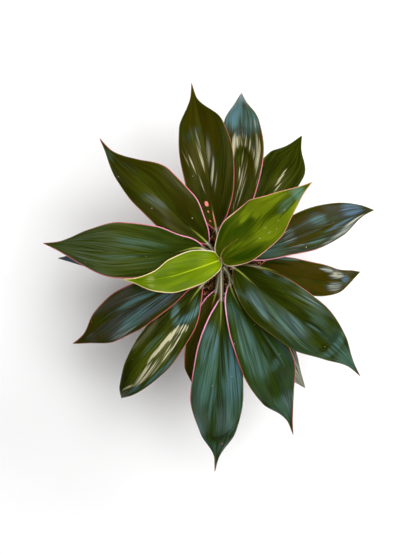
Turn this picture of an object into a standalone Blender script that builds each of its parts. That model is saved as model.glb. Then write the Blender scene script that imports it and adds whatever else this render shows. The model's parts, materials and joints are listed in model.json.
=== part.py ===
"""A ti plant in its round clay pot, in metres, standing on z = 0 with the pot's axis on Z.

Broad strap leaves spiral up a short ringed cane. Each leaf is one thin solid: a foot that clasps
the cane, a channelled stalk, and a blade with a keeled midrib, a shallow gull-wing section and
waved edges that narrows to a drip tip. The newest leaf is still a rolled spear.
"""
import math
import random
from dataclasses import dataclass

import bmesh
import bpy
import numpy as np

MM = 0.001
GAP = 0.3 * MM

# Pot of plain fired clay, turned, with a plain rim band
POT_HEIGHT = 150 * MM
POT_FOOT_RADIUS = 58 * MM
POT_NECK_RADIUS = 79 * MM
POT_RIM_RADIUS = 88 * MM
POT_RIM_HEIGHT = 32 * MM
POT_WALL = 6 * MM
POT_FLOOR = 8 * MM
POT_EDGE = 1.5 * MM
POT_SIDES = 44
DRAIN_HOLES = 4
DRAIN_RADIUS = 5 * MM
DRAIN_CIRCLE = 32 * MM

# Potting soil with a plain hole for the cane
SOIL_LEVEL = 134 * MM
SOIL_BOTTOM = POT_FLOOR + GAP
SOIL_RINGS = 9
SOIL_SECTORS = 40
SOIL_RELIEF = 2.2 * MM
SOIL_SEED = 7

# Cane with the rings that fallen leaves leave behind
CANE_BOTTOM = 62 * MM
CANE_TOP = 262 * MM
CANE_FOOT_RADIUS = 8.6 * MM
CANE_RADIUS = 7.0 * MM
CANE_SIDES = 20
SCARS_FROM = 144 * MM
SCARS_TO = 192 * MM
SCAR_COUNT = 7
SCAR_HEIGHT = 0.6 * MM
SCAR_WIDTH = 1.6 * MM

# Rolled spear of the newest leaf
SPEAR_BASE = (0.0, 0.0, 262.4)
SPEAR_PATH = ((0.5, 5.0, 276.0), (2.5, 15.0, 294.0), (9.0, 22.5, 314.0), (18.5, 28.5, 333.0))
SPEAR_RADII = (2.3, 2.7, 2.0, 0.4)
SPEAR_SIDES = 14
SPEAR_ROWS = 14
SPEAR_LAP = 0.16

# Leaf section, in millimetres unless said otherwise
FOOT_RADIUS = 8.2
FOOT_ANGLE = math.radians(40)
FOOT_LENGTH = 5.0
FOOT_RISE = math.radians(62)
STALK_ANGLE = math.radians(72)
STALK_HALF_WIDTH = 4.2
BLADE_ANGLE = math.radians(9)
STALK_THICKNESS = 1.7
BLADE_THICKNESS = 0.8
KEEL = 1.0
TIP_HALF_WIDTH = 0.45
WIDTH_STATIONS = (0.0, 0.1, 0.3, 0.5, 0.7, 0.9, 1.0)
ACROSS = (-1.0, -0.6, 0.0, 0.6, 1.0)
BLADE_ROWS = (0.0, 0.05, 0.1, 0.16, 0.23, 0.3, 0.37, 0.44, 0.51, 0.58, 0.65, 0.72, 0.79, 0.85,
              0.9, 0.94, 0.97, 1.0)
STALK_ROWS = 5

# Colours as linear RGB with roughness
DARK_LEAF = ((0.028, 0.042, 0.006, 1.0), 0.24)
GREEN_LEAF = ((0.085, 0.16, 0.008, 1.0), 0.30)
LIME_LEAF = ((0.21, 0.34, 0.012, 1.0), 0.34)
CLAY = ((0.56, 0.21, 0.11, 1.0), 0.85)
EARTH = ((0.075, 0.036, 0.016, 1.0), 0.95)
BARK = ((0.20, 0.13, 0.07, 1.0), 0.8)


@dataclass
class Leaf:
    """One leaf: where it leaves the cane, its midrib and its half widths seen from above."""

    name: str
    node: float
    stalk: tuple
    blade: tuple
    left: tuple
    right: tuple
    finish: tuple = DARK_LEAF
    fold: float = 0.25
    arch: float = 0.24
    wave: float = 1.6
    waves: float = 3.0
    phase: float = 0.0


# Midrib points are millimetres from the foot of the pot's axis; the last is the drip tip
LEAVES = (
    Leaf("leaf_lime_west", 258, (), ((-15, 1, 272), (-40, -10, 288), (-72, -19, 300),
                                     (-103, -22, 302), (-125, -21, 296)),
         (18, 22, 21, 14, 3), (22, 25, 20, 8, 2), LIME_LEAF, phase=0.4),
    Leaf("leaf_green_northeast", 256, (), ((11, 10, 272), (48, 43, 305), (78, 70, 328),
                                           (96, 86, 336), (111, 99, 340)),
         (34, 40, 35, 22, 6), (22, 28, 25, 15, 3.5), GREEN_LEAF, phase=1.3),
    Leaf("leaf_west", 249, (), ((-23, 18, 264), (-53, 15, 277), (-104, 13, 286), (-143, 15, 281),
                                (-189, 21, 262), (-233, 26, 238)),
         (16, 30, 34, 23, 7), (18, 35, 38, 24, 4), phase=2.1),
    Leaf("leaf_southeast", 246, (), ((14, -5, 256), (37, -23, 268), (75, -53, 277),
                                     (114, -84, 273), (149, -115, 253), (185, -150, 213)),
         (18, 33, 35, 24, 5.5), (23, 38, 37, 19, 2), phase=0.9),
    Leaf("leaf_northwest", 240, (), ((-12, 18, 252), (-41, 46, 265), (-92, 96, 270),
                                     (-131, 131, 257), (-159, 163, 238)),
         (15, 29, 29, 22, 6), (17, 34, 35, 19, 1.5), phase=3.0),
    Leaf("leaf_southwest_upper", 238, ((-21, -12, 250),), ((-30, -16, 253), (-54, -27, 259),
                                      (-92, -45, 260), (-139, -70, 240), (-174, -94, 218),
                                      (-198, -107, 200)),
         (13, 25, 31, 27, 8), (13, 25, 28, 21, 4), phase=0.2),
    Leaf("leaf_south_southeast", 238, ((9, -14, 245),), ((11, -25, 250), (30, -67, 259),
                                      (53, -113, 256), (73, -159, 240), (87, -195, 217),
                                      (97, -230, 192)),
         (18, 31, 34, 18, 4), (17, 32, 36, 27, 3), phase=1.7),
    Leaf("leaf_east", 234, (), ((22, 7, 243), (53, 17, 252), (102, 38, 257), (148, 55, 247),
                                (203, 71, 212)),
         (14, 22, 27, 23, 10), (11, 20, 27, 21, 4), phase=2.6),
    Leaf("leaf_north", 232, ((-4, 30, 242),), ((-6, 42, 246), (-11, 66, 251), (-17, 120, 257),
                                               (-23, 162, 252), (-32, 206, 240), (-39, 237, 228)),
         (3, 30, 35, 29, 6), (22, 32, 35, 28, 2), phase=1.1),
    Leaf("leaf_south", 230, ((0, -24, 240),), ((0, -45, 246), (-2, -100, 247), (-5, -154, 236),
                                               (-7, -224, 203), (-8, -285, 150)),
         (16, 31, 35, 26, 4.5), (18, 31, 35, 21, 1.2), phase=0.6),
    Leaf("leaf_west_lower", 226, (), ((-23, 7, 235), (-80, 3, 246), (-145, 4, 236),
                                      (-217, 7, 205)),
         (12, 20, 21, 14, 5), (12, 22, 24, 17, 5), phase=2.9),
    Leaf("leaf_north_lower", 224, ((5, 20, 232),), ((9, 37, 238), (18, 75, 246), (25, 115, 247),
                                   (28, 158, 243), (28, 192, 222), (28, 219, 197),
                                   (28, 231, 178)),
         (16, 27, 30, 24, 7), (16, 24, 28, 22, 5), phase=0.1),
    Leaf("leaf_east_lower", 222, (), ((31, -4, 230), (83, -14, 238), (130, -22, 230),
                                      (165, -20, 208), (187, -11, 190)),
         (10, 18, 22, 17, 8), (10, 20, 22, 19, 5), phase=1.9),
    Leaf("leaf_southwest", 220, ((-15, -19, 229),), ((-32, -43, 237), (-50, -64, 243),
                                (-80, -106, 241), (-110, -149, 224), (-134, -181, 188)),
         (20, 29, 28, 20, 8), (17, 25, 30, 23, 10), phase=2.4),
    Leaf("leaf_northeast_lower", 216, (), ((14, 23, 226), (40, 65, 234), (67, 105, 233),
                                           (91, 137, 220), (108, 171, 198)),
         (16, 26, 29, 26, 9), (16, 27, 31, 28, 6), phase=0.8),
    Leaf("leaf_southeast_lower", 210, (), ((18, -29, 222), (54, -81, 231), (84, -130, 222),
                                           (113, -167, 190)),
         (12, 22, 24, 18, 6), (12, 20, 22, 17, 5), phase=1.5),
    Leaf("leaf_south_lower", 198, ((-3, -18, 210),), ((-6, -35, 220), (-20, -81, 227),
                                  (-29, -128, 215), (-32, -177, 188)),
         (10, 20, 24, 18, 6), (12, 18, 21, 19, 6), phase=2.2),
)


def clear_scene():
    """Remove whatever the file opened with."""
    for obj in list(bpy.data.objects):
        bpy.data.objects.remove(obj, do_unlink=True)


def material(name, colour, roughness):
    """A Principled finish."""
    finish = bpy.data.materials.new(name)
    finish.use_nodes = True
    shader = finish.node_tree.nodes["Principled BSDF"]
    shader.inputs["Base Color"].default_value = colour
    shader.inputs["Roughness"].default_value = roughness
    shader.inputs["Metallic"].default_value = 0.0
    return finish


def add_object(name, vertices, faces, finish, sharp=math.radians(40)):
    """Put one closed mesh into the scene, shaded smooth, with outward faces."""
    mesh = bpy.data.meshes.new(name)
    mesh.from_pydata([tuple(v) for v in vertices], [], faces)
    shape = bmesh.new()
    shape.from_mesh(mesh)
    bmesh.ops.recalc_face_normals(shape, faces=shape.faces)
    shape.to_mesh(mesh)
    shape.free()
    mesh.shade_smooth()
    mesh.set_sharp_from_angle(angle=sharp)
    mesh.materials.append(finish)
    obj = bpy.data.objects.new(name, mesh)
    bpy.context.scene.collection.objects.link(obj)
    return obj


def turned(name, profile, sides, finish):
    """Spin a closed (radius, height) profile about Z; a radius of 0 closes on the axis."""
    vertices, rings = [], []
    for radius, height in profile:
        if radius == 0.0:
            rings.append([len(vertices)] * sides)
            vertices.append((0.0, 0.0, height))
            continue
        rings.append([len(vertices) + k for k in range(sides)])
        for k in range(sides):
            angle = 2 * math.pi * k / sides
            vertices.append((radius * math.cos(angle), radius * math.sin(angle), height))
    faces = []
    for low, high in zip(rings, rings[1:]):
        for k in range(sides):
            corners = [low[k], low[(k + 1) % sides], high[(k + 1) % sides], high[k]]
            faces.append(list(dict.fromkeys(corners)))
    return add_object(name, vertices, faces, finish)


def smoothstep(start, end, value):
    """0 before start, 1 after end, smooth between."""
    share = np.clip((value - start) / (end - start), 0.0, 1.0)
    return share * share * (3 - 2 * share)


class Spline:
    """A cubic through points in space, with a set direction at its first point."""

    def __init__(self, points, direction):
        """Solve the second derivatives of the curve at its points."""
        self.points = np.asarray(points, float)
        steps = np.linalg.norm(np.diff(self.points, axis=0), axis=1)
        self.knots = np.concatenate(([0.0], np.cumsum(steps)))
        count = len(self.points)
        system = np.zeros((count, count))
        right = np.zeros((count, 3))
        slopes = np.diff(self.points, axis=0) / steps[:, None]
        system[0, 0], system[0, 1] = 2 * steps[0], steps[0]
        right[0] = 6 * (slopes[0] - np.asarray(direction, float))
        for k in range(1, count - 1):
            system[k, k - 1:k + 2] = steps[k - 1], 2 * (steps[k - 1] + steps[k]), steps[k]
            right[k] = 6 * (slopes[k] - slopes[k - 1])
        system[-1, -1] = 1.0
        self.bends = np.linalg.solve(system, right)

    def at(self, value):
        """The point at one value of the chord length."""
        k = int(np.clip(np.searchsorted(self.knots, value) - 1, 0, len(self.knots) - 2))
        span = self.knots[k + 1] - self.knots[k]
        after, before = (value - self.knots[k]) / span, (self.knots[k + 1] - value) / span
        curve = ((before ** 3 - before) * self.bends[k] + (after ** 3 - after) * self.bends[k + 1])
        return before * self.points[k] + after * self.points[k + 1] + curve * span ** 2 / 6


def eased(stations, values, where):
    """Read values at stations with a monotone cubic, so that a width never overshoots."""
    stations, values = np.asarray(stations, float), np.asarray(values, float)
    steps = np.diff(stations)
    slopes = np.diff(values) / steps
    tangents = np.zeros(len(values))
    tangents[0], tangents[-1] = slopes[0], slopes[-1]
    for k in range(1, len(values) - 1):
        if slopes[k - 1] * slopes[k] > 0:
            tangents[k] = 2 * slopes[k - 1] * slopes[k] / (slopes[k - 1] + slopes[k])
    k = np.clip(np.searchsorted(stations, where) - 1, 0, len(steps) - 1)
    share = (where - stations[k]) / steps[k]
    square, cube = share ** 2, share ** 3
    return ((2 * cube - 3 * square + 1) * values[k]
            + (cube - 2 * square + share) * steps[k] * tangents[k]
            + (3 * square - 2 * cube) * values[k + 1]
            + (cube - square) * steps[k] * tangents[k + 1])


class Blade:
    """The two faces of a leaf, as a function of length along it and place across it."""

    def __init__(self, leaf):
        """Draw the midrib and find where its blade begins."""
        self.leaf = leaf
        first = (leaf.stalk + leaf.blade)[0]
        azimuth = math.atan2(first[1], first[0])
        outward = np.array([math.cos(azimuth), math.sin(azimuth), 0.0])
        foot = outward * FOOT_RADIUS + np.array([0.0, 0.0, leaf.node])
        rise = outward * math.cos(FOOT_RISE) + np.array([0.0, 0.0, math.sin(FOOT_RISE)])
        self.spline = Spline((tuple(foot),) + leaf.stalk + leaf.blade, rise)
        self.start = self.spline.knots[len(leaf.stalk) + 1]
        self.end = self.spline.knots[-1]

    def frame(self, along):
        """Midrib point, direction, left and up at a length along the leaf."""
        point = self.spline.at(along)
        ahead = self.spline.at(min(along + 0.5, self.end))
        behind = self.spline.at(max(along - 0.5, 0.0))
        direction = (ahead - behind) / np.linalg.norm(ahead - behind)
        left = np.array([-direction[1], direction[0], 0.0])
        left /= np.linalg.norm(left)
        return point, direction, left, np.cross(direction, left)

    def section(self, along, across):
        """Half width, sideways and upward offset, and slope of the section at one place."""
        leaf = self.leaf
        foot = 1 - smoothstep(0.0, FOOT_LENGTH * 1.8, along)
        opened = smoothstep(self.start - 4, self.start + 0.22 * (self.end - self.start), along)
        share = np.clip((along - self.start) / (self.end - self.start), 0.0, 1.0)
        widths = leaf.left if across > 0 else leaf.right
        table = (STALK_HALF_WIDTH * 0.8,) + widths + (TIP_HALF_WIDTH,)
        blade_width = eased(WIDTH_STATIONS, table, share)
        stalk_width = STALK_HALF_WIDTH + foot * (FOOT_RADIUS * FOOT_ANGLE - STALK_HALF_WIDTH)
        half = blade_width if along > self.start else stalk_width
        angle = STALK_ANGLE + foot * (FOOT_ANGLE - STALK_ANGLE)
        angle += opened * (BLADE_ANGLE - angle)
        sideways = half * math.sin(angle * across) / angle
        upward = half * (1 - math.cos(angle * across)) / angle
        wing = opened * (leaf.fold * abs(across) - leaf.arch * abs(across) ** 3)
        calm = min(1.0, half / 12.0) * opened
        ripple = leaf.wave * calm * across ** 2 * math.sin(
            2 * math.pi * leaf.waves * share + leaf.phase + (1.1 if across > 0 else 0.0))
        slope = math.atan2(
            math.sin(angle * across)
            + opened * np.sign(across) * (leaf.fold - 3 * leaf.arch * across ** 2),
            math.cos(angle * across))
        return sideways, upward + half * wing + ripple, slope, opened, share

    def faces_at(self, along, across):
        """The point on the upper face and the one on the lower face."""
        point, _, left, up = self.frame(along)
        sideways, upward, slope, opened, share = self.section(along, across)
        middle = point + left * sideways + up * upward
        normal = up * math.cos(slope) - left * math.sin(slope)
        thick = STALK_THICKNESS + opened * (BLADE_THICKNESS - STALK_THICKNESS)
        keel = KEEL * opened * (1 - share) if across == 0.0 else 0.0
        return middle + normal * thick / 2, middle - normal * (thick / 2 + keel)

    def rows(self):
        """Lengths at which the solid has a row of points."""
        stalk = [self.start * k / STALK_ROWS for k in range(STALK_ROWS)]
        return stalk + [self.start + (self.end - self.start) * share for share in BLADE_ROWS]


def make_leaf(leaf):
    """Build one leaf as a closed thin solid, split into triangles alike on both faces."""
    blade = Blade(leaf)
    rows = blade.rows()
    wide = len(ACROSS)
    upper, lower = [], []
    for along in rows:
        for across in ACROSS:
            high, low = blade.faces_at(along, across)
            upper.append(high * MM)
            lower.append(low * MM)
    below = len(upper)
    faces = []
    for row in range(len(rows) - 1):
        for k in range(wide - 1):
            a, b = row * wide + k, row * wide + k + 1
            c, d = b + wide, a + wide
            for triangle in ((a, b, c), (a, c, d)):
                faces.append(triangle)
                faces.append(tuple(below + corner for corner in reversed(triangle)))
        for edge in (0, wide - 1):
            a, d = row * wide + edge, (row + 1) * wide + edge
            faces.append((a, d, below + d, below + a))
    for row in (0, len(rows) - 1):
        for k in range(wide - 1):
            a = row * wide + k
            faces.append((a, a + 1, below + a + 1, below + a))
    finish = material(leaf.name, *leaf.finish)
    return add_object(leaf.name, upper + lower, faces, finish, math.radians(60))


def make_pot():
    """Turn the pot with its rim band and drill its drain holes."""
    neck = POT_HEIGHT - POT_RIM_HEIGHT
    taper = (POT_NECK_RADIUS - POT_FOOT_RADIUS) / neck
    inner_foot = POT_FOOT_RADIUS - POT_WALL + taper * POT_FLOOR
    inner_neck = POT_NECK_RADIUS - POT_WALL
    inner_rim = POT_RIM_RADIUS - POT_WALL
    profile = [
        (0.0, 0.0), (POT_FOOT_RADIUS - POT_EDGE, 0.0), (POT_FOOT_RADIUS, POT_EDGE),
        (POT_NECK_RADIUS, neck), (POT_RIM_RADIUS - 2 * POT_EDGE, neck + POT_EDGE),
        (POT_RIM_RADIUS - POT_EDGE, neck + 2 * POT_EDGE), (POT_RIM_RADIUS, POT_HEIGHT - POT_EDGE),
        (POT_RIM_RADIUS - POT_EDGE, POT_HEIGHT), (inner_rim + POT_EDGE, POT_HEIGHT),
        (inner_rim, POT_HEIGHT - POT_EDGE), (inner_neck, neck - 4 * POT_EDGE),
        (inner_foot, POT_FLOOR), (0.0, POT_FLOOR),
    ]
    pot = turned("pot", profile, POT_SIDES, material("clay", *CLAY))
    for k in range(DRAIN_HOLES):
        angle = 2 * math.pi * (k + 0.5) / DRAIN_HOLES
        drill = turned("drill", [(0.0, -POT_FLOOR), (DRAIN_RADIUS, -POT_FLOOR),
                                 (DRAIN_RADIUS, 2 * POT_FLOOR), (0.0, 2 * POT_FLOOR)], 16,
                       pot.data.materials[0])
        drill.location = (DRAIN_CIRCLE * math.cos(angle), DRAIN_CIRCLE * math.sin(angle), 0.0)
        cut = pot.modifiers.new("drain", "BOOLEAN")
        cut.operation, cut.object = "DIFFERENCE", drill
        bpy.context.view_layer.update()
        apply_modifiers(pot)
        bpy.data.objects.remove(drill, do_unlink=True)
    return pot


def apply_modifiers(obj):
    """Replace an object's mesh by its evaluated one."""
    evaluated = obj.evaluated_get(bpy.context.evaluated_depsgraph_get())
    mesh = bpy.data.meshes.new_from_object(evaluated)
    obj.modifiers.clear()
    obj.data = mesh


def soil_height(radius, angle, bumps):
    """Height of the soil's rough top: low mounds, higher round the cane."""
    height = SOIL_LEVEL + 3 * MM * math.exp(-((radius / (22 * MM)) ** 2))
    x, y = radius * math.cos(angle), radius * math.sin(angle)
    for centre_x, centre_y, size, rise in bumps:
        away = ((x - centre_x) ** 2 + (y - centre_y) ** 2) / size ** 2
        height += rise * math.exp(-away)
    return height


def make_soil():
    """Fill the pot to below its rim, with a blind hole where the cane stands."""
    neck = POT_HEIGHT - POT_RIM_HEIGHT
    taper = (POT_NECK_RADIUS - POT_FOOT_RADIUS) / neck
    foot = POT_FOOT_RADIUS - POT_WALL + taper * POT_FLOOR - 2 * GAP
    bend = neck - 4 * POT_EDGE
    lean = (POT_RIM_RADIUS - POT_NECK_RADIUS) / (POT_HEIGHT - POT_EDGE - bend)
    waist = POT_NECK_RADIUS - POT_WALL - 2 * GAP
    top = waist + lean * (SOIL_LEVEL - SOIL_RELIEF - bend)
    hole = CANE_FOOT_RADIUS + GAP
    random.seed(SOIL_SEED)
    bumps = []
    for _ in range(46):
        reach, angle = top * math.sqrt(random.random()), random.uniform(0, 2 * math.pi)
        bumps.append((reach * math.cos(angle), reach * math.sin(angle),
                      random.uniform(5, 11) * MM, random.uniform(-0.5, 1.0) * SOIL_RELIEF))
    rings = [(0.0, CANE_BOTTOM - GAP), (hole, CANE_BOTTOM - GAP)]
    vertices, loops = [], []
    for radius, height in rings:
        loops.append(ring_of(vertices, radius, lambda angle, h=height: h))
    for k in range(SOIL_RINGS):
        radius = hole + (top - hole) * k / (SOIL_RINGS - 1)
        loops.append(ring_of(vertices, radius,
                             lambda angle, r=radius: soil_height(r, angle, bumps)))
    for radius, height in ((waist, bend), (foot, SOIL_BOTTOM), (0.0, SOIL_BOTTOM)):
        loops.append(ring_of(vertices, radius, lambda angle, h=height: h))
    faces = []
    for low, high in zip(loops, loops[1:]):
        for k in range(SOIL_SECTORS):
            after = (k + 1) % SOIL_SECTORS
            faces.append(list(dict.fromkeys([low[k], low[after], high[after], high[k]])))
    return add_object("soil", vertices, faces, material("soil", *EARTH))


def ring_of(vertices, radius, height_at):
    """Add one ring of soil points, or one point on the axis, and return their numbers."""
    if radius == 0.0:
        vertices.append((0.0, 0.0, height_at(0.0)))
        return [len(vertices) - 1] * SOIL_SECTORS
    first = len(vertices)
    for k in range(SOIL_SECTORS):
        angle = 2 * math.pi * k / SOIL_SECTORS
        vertices.append((radius * math.cos(angle), radius * math.sin(angle), height_at(angle)))
    return list(range(first, first + SOIL_SECTORS))


def make_cane():
    """Turn the cane, with a low ring for each fallen leaf."""
    profile = [(0.0, CANE_BOTTOM), (CANE_FOOT_RADIUS, CANE_BOTTOM)]
    for k in range(SCAR_COUNT):
        share = k / (SCAR_COUNT - 1)
        height = SCARS_FROM + share * (SCARS_TO - SCARS_FROM)
        radius = CANE_FOOT_RADIUS + share * (CANE_RADIUS - CANE_FOOT_RADIUS)
        profile += [(radius, height - SCAR_WIDTH), (radius + SCAR_HEIGHT, height),
                    (radius, height + SCAR_WIDTH)]
    profile += [(CANE_RADIUS, CANE_TOP - 2 * MM), (CANE_RADIUS - 2 * MM, CANE_TOP),
                (0.0, CANE_TOP)]
    return turned("cane", profile, CANE_SIDES, material("cane", *BARK))


def make_spear():
    """Roll the newest leaf: a slim cone whose outer edge laps over itself."""
    spline = Spline((SPEAR_BASE,) + SPEAR_PATH, (0.0, 0.0, 1.0))
    vertices, rings = [], []
    for row in range(SPEAR_ROWS):
        share = row / (SPEAR_ROWS - 1)
        centre = spline.at(share * spline.knots[-1])
        radius = eased((0.0, 0.35, 0.7, 1.0), SPEAR_RADII, share)
        rings.append(list(range(len(vertices), len(vertices) + SPEAR_SIDES)))
        for k in range(SPEAR_SIDES):
            turn = k / (SPEAR_SIDES - 1)
            angle = 2 * math.pi * turn * (1 - 0.35 / SPEAR_SIDES) + 2.4 * share
            reach = radius * (1 + SPEAR_LAP * (turn - 0.5)) * MM
            vertices.append((centre[0] * MM + reach * math.cos(angle),
                             centre[1] * MM + reach * math.sin(angle), centre[2] * MM))
    faces = [list(reversed(rings[0])), rings[-1]]
    for low, high in zip(rings, rings[1:]):
        for k in range(SPEAR_SIDES):
            after = (k + 1) % SPEAR_SIDES
            faces.append((low[k], low[after], high[after]))
            faces.append((low[k], high[after], high[k]))
    return add_object("spear", vertices, faces, material("spear", *GREEN_LEAF))


def main():
    """Build every piece of the plant."""
    clear_scene()
    make_pot()
    make_soil()
    make_cane()
    make_spear()
    for leaf in LEAVES:
        make_leaf(leaf)


main()
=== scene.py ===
"""Looks of a potted ti plant: fine leaves, spear, cane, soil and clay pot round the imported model."""
from __future__ import annotations

import json
import logging
import math
from dataclasses import dataclass, field
from enum import Enum

import bmesh
import bpy
import numpy as np
from mathutils import Matrix, Vector, noise

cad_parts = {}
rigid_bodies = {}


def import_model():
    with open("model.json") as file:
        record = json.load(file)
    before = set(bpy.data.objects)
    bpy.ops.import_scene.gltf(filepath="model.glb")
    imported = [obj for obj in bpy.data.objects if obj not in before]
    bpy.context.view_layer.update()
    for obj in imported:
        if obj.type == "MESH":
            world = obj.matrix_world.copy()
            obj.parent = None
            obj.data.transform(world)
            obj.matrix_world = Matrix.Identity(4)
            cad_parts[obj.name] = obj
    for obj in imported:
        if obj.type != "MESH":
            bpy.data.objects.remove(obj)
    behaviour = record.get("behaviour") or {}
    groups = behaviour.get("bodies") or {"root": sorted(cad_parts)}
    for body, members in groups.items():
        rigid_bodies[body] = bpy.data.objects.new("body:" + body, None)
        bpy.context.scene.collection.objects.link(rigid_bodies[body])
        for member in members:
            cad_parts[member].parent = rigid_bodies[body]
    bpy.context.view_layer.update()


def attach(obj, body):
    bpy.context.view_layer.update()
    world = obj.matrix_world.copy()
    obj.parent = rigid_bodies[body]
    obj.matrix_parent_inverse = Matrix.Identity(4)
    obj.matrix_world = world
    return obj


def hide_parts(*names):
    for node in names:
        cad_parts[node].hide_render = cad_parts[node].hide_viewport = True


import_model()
MM = 0.001
log = logging.getLogger("ti_plant")
Operand = bpy.types.NodeSocket | float
Shade = bpy.types.NodeSocket | str


def linear(code: str) -> tuple[float, float, float, float]:
    """Turn a colour as it looks on a screen into the linear one that a shader takes.

    Args:
        code: sRGB hex value such as "#2F3A08".

    Returns:
        Linear red, green and blue with an alpha of one.
    """
    parts = [int(code[k:k + 2], 16) / 255 for k in (1, 3, 5)]
    red, green, blue = (p / 12.92 if p <= 0.04045 else ((p + 0.055) / 1.055) ** 2.4 for p in parts)
    return red, green, blue, 1.0


def smoothstep(start: float, end: float, value: np.ndarray) -> np.ndarray:
    """Give 0 before start, 1 after end and a smooth rise between them.

    Args:
        start: value at which the rise begins.
        end: value at which it ends.
        value: numbers to read.

    Returns:
        A share for each number.
    """
    share = np.clip((value - start) / (end - start), 0.0, 1.0)
    return share * share * (3 - 2 * share)


def stand(name: str, data: bpy.types.ID) -> bpy.types.Object:
    """Put a mesh, light or camera into the scene as an object of that name."""
    thing = bpy.data.objects.new(name, data)
    bpy.context.scene.collection.objects.link(thing)
    return thing


class Shading:
    """A material in the making, with one short call for each kind of shader node."""

    def __init__(self, name: str) -> None:
        """Start a material of that name."""
        self.material = bpy.data.materials.new(name)
        self.material.use_nodes = True
        self.tree = self.material.node_tree

    def feed(self, node: bpy.types.Node, inputs: dict) -> None:
        """Set each input of a node, by name or number, to a value or link it from an output."""
        for key, value in inputs.items():
            if isinstance(value, bpy.types.NodeSocket):
                self.tree.links.new(value, node.inputs[key])
            else:
                node.inputs[key].default_value = value

    def add(self, kind: str, inputs: dict, **settings) -> bpy.types.bpy_prop_collection:
        """Add one shader node.

        Args:
            kind: Blender's type name for the node, after its first two words.
            inputs: value, or output to link from, for each input.
            settings: properties of the node itself.

        Returns:
            The node's outputs.
        """
        node = self.tree.nodes.new("ShaderNode" + kind)
        for name, value in settings.items():
            setattr(node, name, value)
        self.feed(node, inputs)
        return node.outputs

    def finished(self, inputs: dict) -> bpy.types.Material:
        """Feed the surface shader and hand the material over."""
        self.feed(self.tree.nodes["Principled BSDF"], inputs)
        return self.material

    def where(self) -> bpy.types.NodeSocket:
        """Read the place on the piece, in metres."""
        return self.add("TexCoord", {})["Object"]

    def carried(self, key: str) -> bpy.types.bpy_prop_collection:
        """Read what the mesh carries at each point under that name."""
        return self.add("Attribute", {}, attribute_name=key)

    def parts(self, vector: bpy.types.NodeSocket) -> bpy.types.bpy_prop_collection:
        """Split a vector into its three numbers."""
        return self.add("SeparateXYZ", {0: vector})

    def noise(self, where: bpy.types.NodeSocket, scale: float, detail: float, stretch: tuple = (),
              roughness: float = 0.5) -> bpy.types.NodeSocket:
        """Read noise.

        Args:
            where: place to read it at.
            scale: marks for each unit of length.
            detail: levels of finer noise.
            stretch: factor on each part of the place, small where the marks are drawn out.
            roughness: weight of the finer levels.

        Returns:
            The noise, from 0 to 1.
        """
        if stretch:
            where = self.add("VectorMath", {0: where, 1: stretch}, operation="MULTIPLY")[0]
        return self.add("TexNoise", {"Vector": where, "Scale": scale, "Detail": detail,
                                     "Roughness": roughness})["Fac"]

    def ramp(self, value: bpy.types.NodeSocket, low: float, high: float, top: float = 1.0,
             bottom: float = 0.0, soft: bool = True) -> bpy.types.NodeSocket:
        """Turn a stretch of values into a share.

        Args:
            value: number to read.
            low: value that gives the bottom.
            high: value that gives the top.
            top: share at the high value.
            bottom: share at the low value.
            soft: whether it eases in and out.

        Returns:
            The share.
        """
        return self.add("MapRange", {"Value": value, "From Min": low, "From Max": high, "To Min": bottom,
                                     "To Max": top},
                        interpolation_type="SMOOTHSTEP" if soft else "LINEAR")["Result"]

    def sums(self, kind: str, first: Operand, second: Operand) -> bpy.types.NodeSocket:
        """Join two numbers by the sum of that kind."""
        return self.add("Math", {0: first, 1: second}, operation=kind)[0]

    def times(self, first: Operand, second: Operand) -> bpy.types.NodeSocket:
        """Multiply two numbers."""
        return self.sums("MULTIPLY", first, second)

    def plus(self, first: Operand, second: Operand) -> bpy.types.NodeSocket:
        """Add two numbers."""
        return self.sums("ADD", first, second)

    def minus(self, first: Operand, second: Operand) -> bpy.types.NodeSocket:
        """Take the second number from the first."""
        return self.sums("SUBTRACT", first, second)

    def blend(self, share: Operand, first: Shade, second: Shade) -> bpy.types.NodeSocket:
        """Mix two colours, with a share of the second."""
        pair = [linear(shade) if isinstance(shade, str) else shade for shade in (first, second)]
        return self.add("Mix", {0: share, 6: pair[0], 7: pair[1]}, data_type="RGBA")[2]

    def relief(self, height: bpy.types.NodeSocket, strength: float, depth: float,
               below: bpy.types.NodeSocket | None = None) -> bpy.types.NodeSocket:
        """Press a height into the surface.

        Args:
            height: share that reads as height.
            strength: how much of it shows.
            depth: height of a full share in mm.
            below: relief that lies under this one.

        Returns:
            The normal.
        """
        inputs = {"Height": height, "Strength": strength, "Distance": depth * MM}
        if below is not None:
            inputs["Normal"] = below
        return self.add("Bump", inputs)[0]


def mesh_object(name: str, vertices: np.ndarray, faces: list, material: bpy.types.Material,
                attributes: dict | None = None, sharp: float = 180.0) -> bpy.types.Object:
    """Make one smooth piece from points and faces, with outward normals.

    Args:
        name: name of the piece.
        vertices: points in metres.
        faces: corner numbers of each face.
        material: its finish.
        attributes: named numbers or vectors for each point, which the finish reads.
        sharp: angle in degrees above which an edge stays sharp.

    Returns:
        The new object, linked to the scene.
    """
    mesh = bpy.data.meshes.new(name)
    mesh.from_pydata(np.asarray(vertices, float).tolist(), [], faces)
    for key, values in (attributes or {}).items():
        values = np.asarray(values, np.float32)
        vector = values.ndim == 2
        layer = mesh.attributes.new(key, "FLOAT_VECTOR" if vector else "FLOAT", "POINT")
        layer.data.foreach_set("vector" if vector else "value", values.ravel())
    shape = bmesh.new()
    shape.from_mesh(mesh)
    bmesh.ops.recalc_face_normals(shape, faces=shape.faces)
    shape.to_mesh(mesh)
    shape.free()
    mesh.shade_smooth()
    if sharp < 180.0:
        mesh.set_sharp_from_angle(angle=math.radians(sharp))
    mesh.materials.append(material)
    return stand(name, mesh)


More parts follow.
